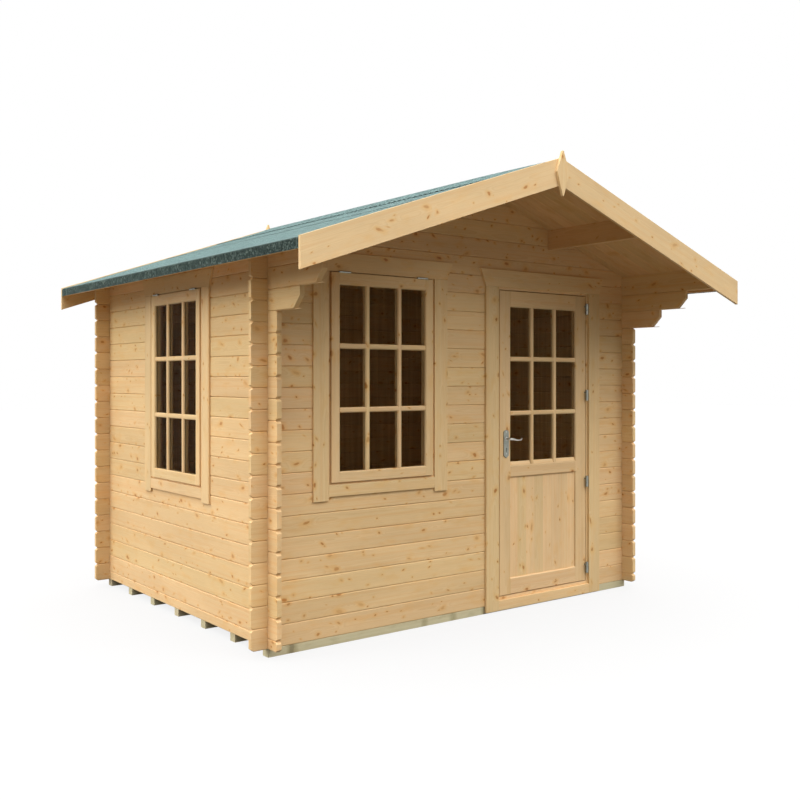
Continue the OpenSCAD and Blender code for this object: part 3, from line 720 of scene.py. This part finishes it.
CROSS_WALLS = ("front_wall_left", "front_wall_right", "front_gable", "back_wall", "back_gable")
SIDE_WALLS = ("left_wall", "right_wall")
for wall in CROSS_WALLS:
    timber(wall, LOG, X)
for wall in SIDE_WALLS:
    timber(wall, LOG, Y)
timber_piece(
    "log_tongues", tongues(CROSS_WALLS, X) + tongues(SIDE_WALLS, Y), LOG
)
for window in ("front_window", "side_window"):
    timber(window + "_frame", JOINERY, width=JOINERY_EDGE)
    timber(window + "_casing", JOINERY)
timber("door_frame", JOINERY, width=JOINERY_EDGE)
timber("door_casing", JOINERY)
for purlin in ("ridge_purlin", "left_purlin", "right_purlin"):
    timber(purlin, ROOF_WOOD, Y)
for side, slope in SLOPES.items():
    timber(side + "_eave_batten", ROOF_WOOD, Y)
    for end in ("front", "back"):
        timber(f"{end}_{side}_bargeboard", BARGE_WOOD, slope)
for end in ("front", "back"):
    timber(end + "_finial", BARGE_WOOD, Z)
timber("floor_bearers", TREATED_WOOD, X)

# ---------- floor boards ----------

FLOOR_BOARDS = 29
FLOOR_EDGE = 1.5 * MM


def floor_boards():
    """The floor cut into boards that run front to back over the bearers."""
    slab = welded("floor")
    low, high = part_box("floor")
    step = (high.x - low.x) / FLOOR_BOARDS
    boards = []
    for n in range(FLOOR_BOARDS):
        x = low.x + n * step
        strip = inside(slab, (x, -FAR, -FAR), (x + step, FAR, FAR))
        boards.append(Board(strip, Y, f"floor {n}", FLOOR_EDGE))
    timber_piece("floor_boards", boards, FLOOR_WOOD, nodes=["floor"])


floor_boards()

# ---------- glazed sashes and the door leaf, cut into their stiles, rails and bars ----------


class Light:
    """A glazed opening in a flat leaf. h is the axis along the leaf and d the one through it."""

    def __init__(self, leaf, glass, h):
        self.h, self.d = h, 1 - h
        self.low, self.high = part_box(leaf)
        pane_low, pane_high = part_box(glass)
        self.left, self.right = pane_low[h] + GROOVE, pane_high[h] - GROOVE
        self.foot, self.top = pane_low.z + GROOVE, pane_high.z - GROOVE
        self.pane = (pane_low[self.d], pane_high[self.d])
        self.middle = (self.left + self.right) / 2

    def corners(self, along, through, height):
        """Box corners from ranges along the leaf, through it and in height."""
        low, high = [0.0] * 3, [0.0] * 3
        for axis, (a, b) in ((self.h, along), (self.d, through), (2, height)):
            low[axis], high[axis] = a, b
        return low, high


def glazed_boards(solid, name, light, bar_x, rails, bead_h):
    """Boards of a leaf: two stiles, the rails at the heights in rails, and the glazing bars.

    bar_x is how far the upright bars stand from the middle, and bead_h the height of the sill
    bead outside the lowest panes."""
    whole = (-FAR, FAR)
    along = X if light.h == 0 else Y
    cuts = [(Z, (-FAR, light.left), whole, whole), (Z, (light.right, FAR), whole, whole)]
    cuts += [(along, (light.left, light.right), whole, rail) for rail in rails]
    broad = len(cuts)
    bars = [light.middle - bar_x, light.middle + bar_x]
    edges = [light.left]
    for x in bars:
        edges += [x - BAR_W / 2, x + BAR_W / 2]
    edges.append(light.right)
    gaps = list(zip(edges[::2], edges[1::2]))
    row = (light.top - light.foot - 2 * BAR_W) / 3
    middle = sum(light.pane) / 2
    for through in ((-FAR, middle), (middle, FAR)):
        for x in bars:
            cuts.append((Z, (x - BAR_W / 2, x + BAR_W / 2), through, (light.foot, light.top)))
        for z in (light.foot + row, light.top - row - BAR_W):
            cuts += [(along, gap, through, (z, z + BAR_W)) for gap in gaps]
    if bead_h:
        bead = (light.foot, light.foot + bead_h)
        cuts += [(along, gap, (-FAR, middle), bead) for gap in gaps]
    boards = []
    for n, (grain, across, through, height) in enumerate(cuts):
        part = inside(solid, *light.corners(across, through, height))
        if part.faces:
            rounding = STILE_ROUND if n < broad else BAR_ROUND
            boards.append(Board(part, grain, f"{name} {n}", JOINERY_EDGE, rounding))
    return boards


def window_sash(name, h):
    """A window's sash, in a wall that runs along axis h."""
    light = Light(name + "_sash", name + "_glass", h)
    rails = [(-FAR, light.foot), (light.top, FAR)]
    boards = glazed_boards(welded(name + "_sash"), name, light, SASH_BAR_X, rails, 0)
    timber_piece(
        name + "_sash_boards", boards, JOINERY, nodes=[name + "_sash"]
    )


def keyhole(place, low, high):
    """The hole for a key, round above and straight below."""
    slot = block(
        (place.x - KEYHOLE_R / 2, low, place.z - KEYHOLE_L),
        (place.x + KEYHOLE_R / 2, high, place.z),
    )
    bore = lathe([(low, KEYHOLE_R), (high, KEYHOLE_R)], Y, (place.x, 0, place.z))
    return combined(slot, bore, "UNION")


CASE_HALF = 16 * MM  # half the width of the lock case inside the leaf
CASE_UP = 20 * MM
CASE_DOWN = 45 * MM
CASE_BED = 0.2 * MM


def lock_pocket(place, low, high, fit):
    """The space in the leaf for the lock case, or the case itself where fit is negative."""
    return block(
        (place.x - CASE_HALF - fit, low, place.z - CASE_DOWN - fit),
        (place.x + CASE_HALF + fit, high, place.z + CASE_UP + fit),
    )


SPINDLE = joint_place("handle_turn")


def door_leaf():
    """The door's leaf with a pocket for its lock case, and the case with its keyhole."""
    light = Light("door_leaf", "door_glass", 0)
    panel_low, panel_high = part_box("door_panel")
    bar_x = (light.right - light.left + BAR_W) / 6
    rails = [
        (-FAR, panel_low.z + GROOVE),
        (panel_high.z - GROOVE, light.foot),
        (light.top, FAR),
    ]
    key = SPINDLE - KEYHOLE_DROP * Z
    pocket = lock_pocket(key, light.low.y - EDGE, light.high.y + EDGE, CASE_BED)
    leaf = combined(welded("door_leaf"), pocket, "DIFFERENCE")
    case = lock_pocket(key, light.low.y + CASE_BED, light.high.y - CASE_BED, -CASE_BED)
    case = combined(case, keyhole(key, light.low.y - EDGE, light.high.y + EDGE), "DIFFERENCE")
    smooth_piece("lock_case", case, DARK_STEEL, "door")
    boards = glazed_boards(leaf, "door_leaf", light, bar_x, rails, BEAD_H)
    timber_piece(
        "door_leaf_boards", boards, JOINERY, "door", nodes=["door_leaf"]
    )


PANEL_STAVES = 8
STAVE_EDGE = 0.25 * MM


def door_panel():
    """The door's lower panel, glued up from upright staves."""
    low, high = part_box("door_panel")
    step = (high.x - low.x) / PANEL_STAVES
    staves = []
    for n in range(PANEL_STAVES):
        x = low.x + n * step
        stave = block((x, low.y, low.z), (x + step, high.y, high.z))
        staves.append(Board(stave, Z, f"door_panel {n}", STAVE_EDGE))
    timber_piece(
        "door_panel_staves", staves, JOINERY, "door", nodes=["door_panel"]
    )


window_sash("front_window", 0)
window_sash("side_window", 1)
door_leaf()
door_panel()

# ---------- roof boards ----------

ROOF_BOARDS = 34
BOARD_V = 3 * MM  # chamfer of the roof boards' lower edges
BOARD_SEAM = 0.3 * MM
BOARD_EDGE = 0.4 * MM
NOSE = 8 * MM  # how far a roof board's upper corner is cut back under the felt's fold


def under(x):
    """Height of the roof boards' underside at distance x from the ridge line."""
    return RIDGE_UNDER - abs(x) * FALL


def roof_board(y0, y1, sign):
    """One board from the ridge to the eave, with V edges below."""
    y0, y1 = y0 + BOARD_SEAM / 2, y1 - BOARD_SEAM / 2
    outline = [(y0 + BOARD_V, 0), (y1 - BOARD_V, 0), (y1, BOARD_V)]
    outline += [(y1, ROOF_RISE), (y0, ROOF_RISE), (y0, BOARD_V)]
    bm = bmesh.new()
    rings = []
    for x, cut in ((0, 0), (BOARD_HALF - NOSE, 0), (BOARD_HALF, NOSE)):
        ring = []
        for y, rise in outline:
            top = min(rise, ROOF_RISE - cut)
            ring.append(bm.verts.new((sign * x, y, under(x) + top)))
        rings.append(ring)
    return close_rings(bm, rings)


def roof_boards():
    """Boards that run down both slopes, side by side from front to back."""
    step = (ROOF_BACK - ROOF_FRONT) / ROOF_BOARDS
    for side, sign in (("right", 1), ("left", -1)):
        boards = []
        for n in range(ROOF_BOARDS):
            y = ROOF_FRONT + n * step
            name = f"{side} roof {n}"
            board = roof_board(y, y + step, sign)
            boards.append(Board(board, SLOPES[side], name, BOARD_EDGE))
        node = side + "_roof_boards"
        timber_piece(node + "_single", boards, ROOF_WOOD, nodes=[node])


roof_boards()

# ---------- felt ----------

FELT_T = 1.3 * MM
FELT_BED = 0.2 * MM  # room under each layer of felt
LOW_LIFT = FELT_BED + FELT_T  # the top of the first layer above the boards
FOLD_R = 11 * MM
FOLD_STEPS = 8
FLAP_STEPS = 3
FLAP_INSET = 0.6 * MM  # how far the flap stays inside the CAD felt's face
UPPER_EDGE = 0.90  # distance of the upper strip's lower edge from the ridge line
LAP = 75 * MM  # how far the upper strip covers the lower one
LAP_RAMP = 25 * MM  # how far above the lap the upper strip starts to rise onto it
CAP_HALF = 0.47  # distance of the ridge cap's lower edges from the ridge line
NAIL_STEP = 50 * MM
ROW_STEP = 60 * MM  # how closely a sheet's mesh follows its path
COLUMN_STEP = NAIL_STEP / 4
EDGE_LIFT = 4.0 * MM  # how far the ridge cap's edges stand up between their nails
RIDGE_LIFT = 7.0 * MM  # how far the cap stands clear over the ridge
RIDGE_REACH = 0.12  # distance from the ridge line over which the cap comes down again
RIDGE_FADE = 0.60  # how far back from the front the cap comes to stand fully clear
RIPPLE = 0.5 * MM


def ripple(x, y):
    """Slight unevenness of laid felt, from 0 up to RIPPLE."""
    waves = math.sin(9.0 * x + 3.1 * y) + math.sin(4.3 * y - 6.1 * x + 1.7)
    waves += math.sin(17.0 * y + 2.0)
    return RIPPLE / 2 * (1 + waves / 3)


def between_nails(y):
    """0 at a nail in a row, 1 halfway to the next."""
    return 0.5 + 0.5 * math.cos(2 * math.pi * (y - ROOF_FRONT) / NAIL_STEP)


def sheet_over(path, sign, rise=lambda x, y: 0.0):
    """A closed sheet of felt along a path of (x, z, normal x, normal z), run from front to back.

    rise(x, y) is how far it stands up off the path."""
    count = round((ROOF_BACK - ROOF_FRONT) / COLUMN_STEP)
    bm = bmesh.new()
    rings = []
    for i in range(count + 1):
        y = ROOF_FRONT + (ROOF_BACK - ROOF_FRONT) * i / count
        tops, beds = [], []
        for x, z, nx, nz in path:
            lift = ripple(x, y) * nz + rise(x, y)
            tops.append(bm.verts.new((sign * (x + nx * lift), y, z + nz * lift)))
            beds.append(bm.verts.new((sign * (x - nx * FELT_T), y, z + nz * (lift - FELT_T))))
        rings.append(tops + beds[::-1])
    return close_rings(bm, rings)


def slope_path(start, end, lift):
    """Points down a slope from x = start to x = end, lift(x) above the boards along the normal.

    On the ridge line the normal is upright, so that the two sides' sheets meet there."""
    count = max(2, round((end - start) / ROW_STEP))
    nx, nz = math.sin(PITCH), math.cos(PITCH)
    path = []
    for i in range(count + 1):
        x = start + (end - start) * i / count
        path.append((x, under(x) + ROOF_RISE + lift(x) / nz, nx, nz))
    if start == 0:
        path[0] = (*path[0][:2], 0.0, 1.0)
    return path


def eave_path(lift):
    """The fold over the eave and the flap down to the batten's foot."""
    out = FELT_EDGE - FLAP_INSET
    centre_x = out - FOLD_R
    centre_z = under(centre_x) + ROOF_RISE + (lift - FOLD_R) / math.cos(PITCH)
    path = []
    for i in range(FOLD_STEPS + 1):
        a = PITCH + (math.pi / 2 - PITCH) * i / FOLD_STEPS
        nx, nz = math.sin(a), math.cos(a)
        path.append((centre_x + FOLD_R * nx, centre_z + FOLD_R * nz, nx, nz))
    for i in range(1, FLAP_STEPS + 1):
        path.append((out, centre_z + (FELT_FOOT - centre_z) * i / FLAP_STEPS, 1.0, 0.0))
    return path


def felt():
    """On each side two strips that lap towards the eave, a flap over it, and half a ridge cap."""
    lap_start = UPPER_EDGE - LAP

    def upper_lift(x):
        share = min(1.0, max(0.0, (x - lap_start + LAP_RAMP) / LAP_RAMP))
        return LOW_LIFT * (1 + share)

    def cap_rise(x, y):
        over_ridge = max(0.0, 1 - x / RIDGE_REACH) * min(1.0, (y - ROOF_FRONT) / RIDGE_FADE)
        at_edge = between_nails(y) if x > CAP_HALF - WELD else 0.0
        return RIDGE_LIFT * over_ridge + EDGE_LIFT * at_edge

    for side, sign in (("right", 1), ("left", -1)):
        eave = eave_path(LOW_LIFT)
        lower = slope_path(lap_start, eave[0][0], lambda x: LOW_LIFT)
        upper = slope_path(0.0, UPPER_EDGE, upper_lift)
        strips = merged([sheet_over(lower, sign), sheet_over(upper, sign)])
        node = side + "_roof_felt"
        smooth_piece(node + "_strips", strips, FELT, nodes=[node])
        # The flap takes the darker copy of the felt: painted shade.
        smooth_piece(node + "_flap", sheet_over(eave, sign), SHADED_FLAP_FELT)
        cap = sheet_over(slope_path(0.0, CAP_HALF, lambda x: 2 * LOW_LIFT), sign, cap_rise)
        smooth_piece(side + "_ridge_cap", cap, FELT)


felt()

# ---------- clout nails in the felt ----------

NAIL_R = 5 * MM
NAIL_H = 1.1 * MM
LAP_NAIL_IN = 20 * MM  # how far a lap's nails stand in from its edge
EAVE_NAIL_IN = 50 * MM
UPPER_NAIL_RISE = 0.3 * MM  # how far the upper strip's nails stand off it
NAIL_STRAY_X = 3 * MM
NAIL_STRAY_Y = 2 * MM
LAST_NAIL_IN = 10 * MM  # how far the last nail stays from the roof's back edge at least


def nail(place, axis):
    """A nail's broad head."""
    profile = [(0, NAIL_R), (NAIL_H * 0.5, NAIL_R), (NAIL_H, NAIL_R * 0.55)]
    return lathe(profile, axis, place, sides=10)


def felt_nails():
    """Rows of nails along the ridge cap's edges, the laps and the eaves."""
    dice = random.Random("felt nails")
    rows = [
        (CAP_HALF - LAP_NAIL_IN, 2 * LOW_LIFT),
        (UPPER_EDGE - LAP_NAIL_IN, 2 * LOW_LIFT + UPPER_NAIL_RISE),
        (FELT_EDGE - EAVE_NAIL_IN, LOW_LIFT),
    ]
    nails = []
    count = round((ROOF_BACK - ROOF_FRONT) / NAIL_STEP)
    for sign in (1, -1):
        normal = Vector((sign * math.sin(PITCH), 0, math.cos(PITCH)))
        for x, lift in rows:
            for i in range(count):
                y = ROOF_FRONT + NAIL_STEP * (i + 0.5)
                y += dice.uniform(-NAIL_STRAY_Y, NAIL_STRAY_Y)
                if y > ROOF_BACK - LAST_NAIL_IN:
                    continue
                spread = x + dice.uniform(-NAIL_STRAY_X, NAIL_STRAY_X)
                base = Vector((sign * spread, y, under(spread) + ROOF_RISE))
                nails.append(nail(base + normal * (lift + ripple(spread, y)), normal))
    smooth_piece("felt_nails", merged(nails), NAIL_STEEL)


felt_nails()

# ---------- hinges and lock plates ----------


def metal(node, body, width):
    """A CAD node of steel with its rims rounded."""
    parts = solids(welded(node))
    for part in parts:
        flattened(part)
        bevel(part, sharper_than(part, RIM), width, 3)
    smooth_piece(node + "_steel", merged(parts), PLATE_STEEL, body, nodes=[node])


metal("front_window_hinges", "cabin", 0.6 * MM)
metal("side_window_hinges", "cabin", 0.6 * MM)
metal("door_frame_hinges", "cabin", 0.8 * MM)
metal("door_leaf_hinges", "door", 0.8 * MM)
metal("door_lock_plates", "door", 1.5 * MM)

# ---------- lever handle ----------

LEVER_L = 110 * MM
NECK_R = 8 * MM
NECK_STEPS = 3
NECK_SUNK = 1 * MM  # how far the neck starts inside the lock plate
BEND_R = 13 * MM
BEND_STEPS = 8
BEND_LOSS = (2.2 * MM, 0.5 * MM)  # what the radii across and in height lose round the bend
GRIP_STEPS = 26
GRIP_ACROSS = 5.6 * MM
GRIP_TALL = 7.4 * MM
GRIP_THINS = 0.42  # share of its height that the grip loses towards its tip
THIN_BY = 0.6  # share of the grip's length over which it does so
CURL = 8 * MM  # how far the tip curls in towards the leaf
CURL_FROM = 0.75
TIP_INSET = 4.5 * MM
TIP_FROM = 0.95
TIP_END = (0.3, 0.35)  # the least share of the radii that is left at the tip
BAR_SIDES = 24
# Height of the grip's middle line at shares of its length.
WAVE = ((0.0, 0.0), (0.55, -8.5 * MM), (0.80, -8.5 * MM), (1.0, 2.5 * MM))


def swept(points, sizes):
    """A closed bar along points. sizes gives (radius across, radius in height) at each."""
    bm = bmesh.new()
    rings = []
    for n, point in enumerate(points):
        before, after = points[max(n - 1, 0)], points[min(n + 1, len(points) - 1)]
        ahead = (after - before).normalized()
        sideways = ahead.cross(Z).normalized()
        upright = sideways.cross(ahead)
        across, tall = sizes[n]
        ring = []
        for i in range(BAR_SIDES):
            a = 2 * math.pi * i / BAR_SIDES
            offset = sideways * (across * math.cos(a)) + upright * (tall * math.sin(a))
            ring.append(bm.verts.new(point + offset))
        rings.append(ring)
    return close_rings(bm, rings)


def lever_wave(s):
    """Height of the grip's middle line at a share s of its length."""
    for (s0, z0), (s1, z1) in zip(WAVE, WAVE[1:]):
        if s <= s1:
            t = (s - s0) / (s1 - s0)
            return z0 + (z1 - z0) * t * t * (3 - 2 * t)
    return WAVE[-1][1]


def lever(face, outwards):
    """A lever on one face: a neck out of the leaf, a bend, and a waved grip with a curled tip."""
    low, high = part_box("door_handle")
    reach = abs((low.y if outwards < 0 else high.y) - face) - NECK_R
    neck = reach - BEND_R
    points, sizes = [Vector((0, -NECK_SUNK, 0))], [(NECK_R, NECK_R)]
    for i in range(1, NECK_STEPS + 1):
        points.append(Vector((0, neck * i / NECK_STEPS, 0)))
        sizes.append((NECK_R, NECK_R))
    for i in range(1, BEND_STEPS + 1):
        share = i / BEND_STEPS
        a = math.pi / 2 * share
        points.append(Vector((BEND_R * (1 - math.cos(a)), neck + BEND_R * math.sin(a), 0)))
        sizes.append([NECK_R - loss * share for loss in BEND_LOSS])
    for i in range(1, GRIP_STEPS + 1):
        s = i / GRIP_STEPS
        x = BEND_R + (LEVER_L - TIP_INSET - BEND_R) * s
        inward = -CURL * max(0.0, (s - CURL_FROM) / (1 - CURL_FROM)) ** 2
        points.append(Vector((x, reach + inward, lever_wave(s))))
        thin = 1 - GRIP_THINS * min(1.0, s / THIN_BY)
        past = max(0.0, (s - TIP_FROM) / (1 - TIP_FROM))
        tip = math.sqrt(max(0.0, 1 - past**2))
        across, tall = (max(tip, end) for end in TIP_END)
        sizes.append((GRIP_ACROSS * across, GRIP_TALL * thin * tall))
    place = Vector((SPINDLE.x, face, SPINDLE.z))
    points = [place + Vector((p.x, outwards * p.y, p.z)) for p in points]
    return swept(points, sizes)


# Turned profiles as (distance out from the lock plate, radius).
COLLAR = ((0, 13 * MM), (2.5 * MM, 13 * MM), (4 * MM, 12 * MM))
COLLAR += ((5.5 * MM, 10.2 * MM), (5.8 * MM, NECK_R + 0.3 * MM))
SCREW = ((0, 4.0 * MM), (0.3 * MM, 4.0 * MM), (0.9 * MM, 3.0 * MM), (1.2 * MM, 1.5 * MM))
CROSS_HALF = Vector((2.4, 3.0, 0.45)) * MM  # half the size of each cut of a screw's cross
CROSS_OUT = 3.5 * MM  # how far out from the plate the cuts' middle lies
UPPER_SCREW_IN = 12 * MM  # how far the screws stand in from the plate's ends
LOWER_SCREW_IN = 27 * MM
SCREW_TURNS = (0.4, 1.5)  # how far the upper and lower screws are turned, in radians


def collar(face, outwards):
    """The turned collar that the neck runs in, on the lock plate."""
    return lathe(COLLAR, (0, outwards, 0), (SPINDLE.x, face, SPINDLE.z), sides=40)


def screw_head(place, outwards, slot_turn):
    """A raised countersunk head with a cross in it."""
    head = lathe(SCREW, (0, outwards, 0), place, sides=20)
    for turn in (slot_turn, slot_turn + math.pi / 2):
        cut = block(-CROSS_HALF, CROSS_HALF)
        spin = Matrix.Rotation(turn, 3, "Y")
        bottom = Vector(place) + Vector((0, outwards * CROSS_OUT, 0))
        for v in cut.verts:
            v.co = bottom + spin @ v.co
        head = combined(head, cut, "DIFFERENCE")
    return head


def door_furniture():
    """The levers, and the collars and screws on the lock plates, on both faces."""
    low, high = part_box("door_lock_plates")
    heights = (high.z - UPPER_SCREW_IN, low.z + LOWER_SCREW_IN)
    levers, fixed = [], []
    for face, outwards in ((low.y, -1), (high.y, 1)):
        levers.append(lever(face, outwards))
        fixed.append(collar(face, outwards))
        for z, turn in zip(heights, SCREW_TURNS):
            fixed.append(screw_head((SPINDLE.x, face, z), outwards, turn))
    smooth_piece("door_levers", merged(levers), STEEL, "handle", nodes=["door_handle"])
    smooth_piece("door_plate_collars", merged(fixed), STEEL, "door")


door_furniture()

# ---------- glass ----------

for node in ("front_window_glass", "side_window_glass", "door_glass"):
    pane = frame["nodes"][node].data
    pane.materials.clear()
    pane.materials.append(GLASS)

# ---------- floor, light and camera ----------

WHITE = rgb(1, 1, 1)
FLOOR_HALF = 40.0
FLOOR_BOUNCE = rgb(0.105, 0.098, 0.082)  # the floor's colour to the light
FLOOR_SEEN = rgb(0.08, 0.08, 0.08)  # its colour to the camera, besides its glow
FLOOR_GLOW = 0.84
SKY_BANDS = ((0.20, 0.40, 1.18), (0.60, 0.80, 2.3))  # from height, to height, strength added
LAMP_SPREAD = math.radians(40)
CAMERA_PLACE = (-3.9095, -5.3898, 1.4621)
CAMERA_YAW = math.radians(-38.44)
CAMERA_LENS = 43.63
CAMERA_SHIFT = (-0.0359, -0.0271)


def two_faced(g, lit, seen):
    """One shader for the light, and one for the camera, straight or through glass or mirrored."""
    path = g.node("LightPath")
    share = g.math("MAXIMUM", path.outputs["Is Camera Ray"], path.outputs["Is Glossy Ray"])
    share = g.math("MAXIMUM", share, path.outputs["Is Transmission Ray"])
    return g.node("MixShader", {0: share, 1: lit, 2: seen}).outputs[0]


def stage_floor():
    """A pale floor: white to the camera except in the cabin's shadow, and dull to the light."""
    g = Graph(bpy.data.materials.new("studio_floor"))
    dull = g.node("BsdfDiffuse", {"Color": FLOOR_BOUNCE})
    pale = g.node("BsdfDiffuse", {"Color": FLOOR_SEEN})
    glow = g.node("Emission", {"Color": WHITE, "Strength": FLOOR_GLOW})
    both = g.node("AddShader", {0: pale.outputs[0], 1: glow.outputs[0]})
    material = g.output(two_faced(g, dull.outputs[0], both.outputs[0]))
    bm = bmesh.new()
    bmesh.ops.create_grid(bm, x_segments=4, y_segments=4, size=FLOOR_HALF)
    mesh = as_mesh("studio_floor", bm)
    mesh.materials.append(material)
    floor = placed("studio_floor", mesh)


def studio_world():
    """A soft dome, dark near the horizon and brightest overhead, that the camera sees as white."""
    g = Graph(bpy.data.worlds.new("studio"))
    height = g.node("SeparateXYZ", {0: g.node("TexCoord").outputs["Generated"]}).outputs["Z"]
    bands = [g.ramp(height, low, high, 0.0, added) for low, high, added in SKY_BANDS]
    strength = g.math("ADD", *bands)
    soft = g.node("Background", {"Color": WHITE, "Strength": strength})
    plain = g.node("Background", {"Color": WHITE, "Strength": 1.0})
    both = two_faced(g, soft.outputs[0], plain.outputs[0])
    bpy.context.scene.world = g.output(both, "OutputWorld")


def studio_lamp(name, towards, energy, colour):
    """One broad lamp, in the direction given."""
    lamp = bpy.data.lights.new(name, "SUN")
    lamp.energy = energy
    lamp.angle = LAMP_SPREAD
    lamp.color = colour
    turn = Vector(towards).to_track_quat("Z", "Y")
    placed(name, lamp).rotation_euler = turn.to_euler()


def camera():
    """Level, at eye height, off the front left corner."""
    data = bpy.data.cameras.new("camera")
    data.lens = CAMERA_LENS
    data.shift_x, data.shift_y = CAMERA_SHIFT
    obj = placed("camera", data)
    obj.location = CAMERA_PLACE
    obj.rotation_euler = (math.pi / 2, 0, CAMERA_YAW)
    bpy.context.scene.camera = obj


stage_floor()
studio_world()
studio_lamp("left_lamp", (-0.9, 0.26, 0.5), 1.40, (1.0, 0.98, 0.90))
studio_lamp("front_lamp", (0.3, -0.8, 0.7), 0.78, (1.0, 0.98, 0.95))
camera()
bpy.context.scene.view_settings.view_transform = "Standard"
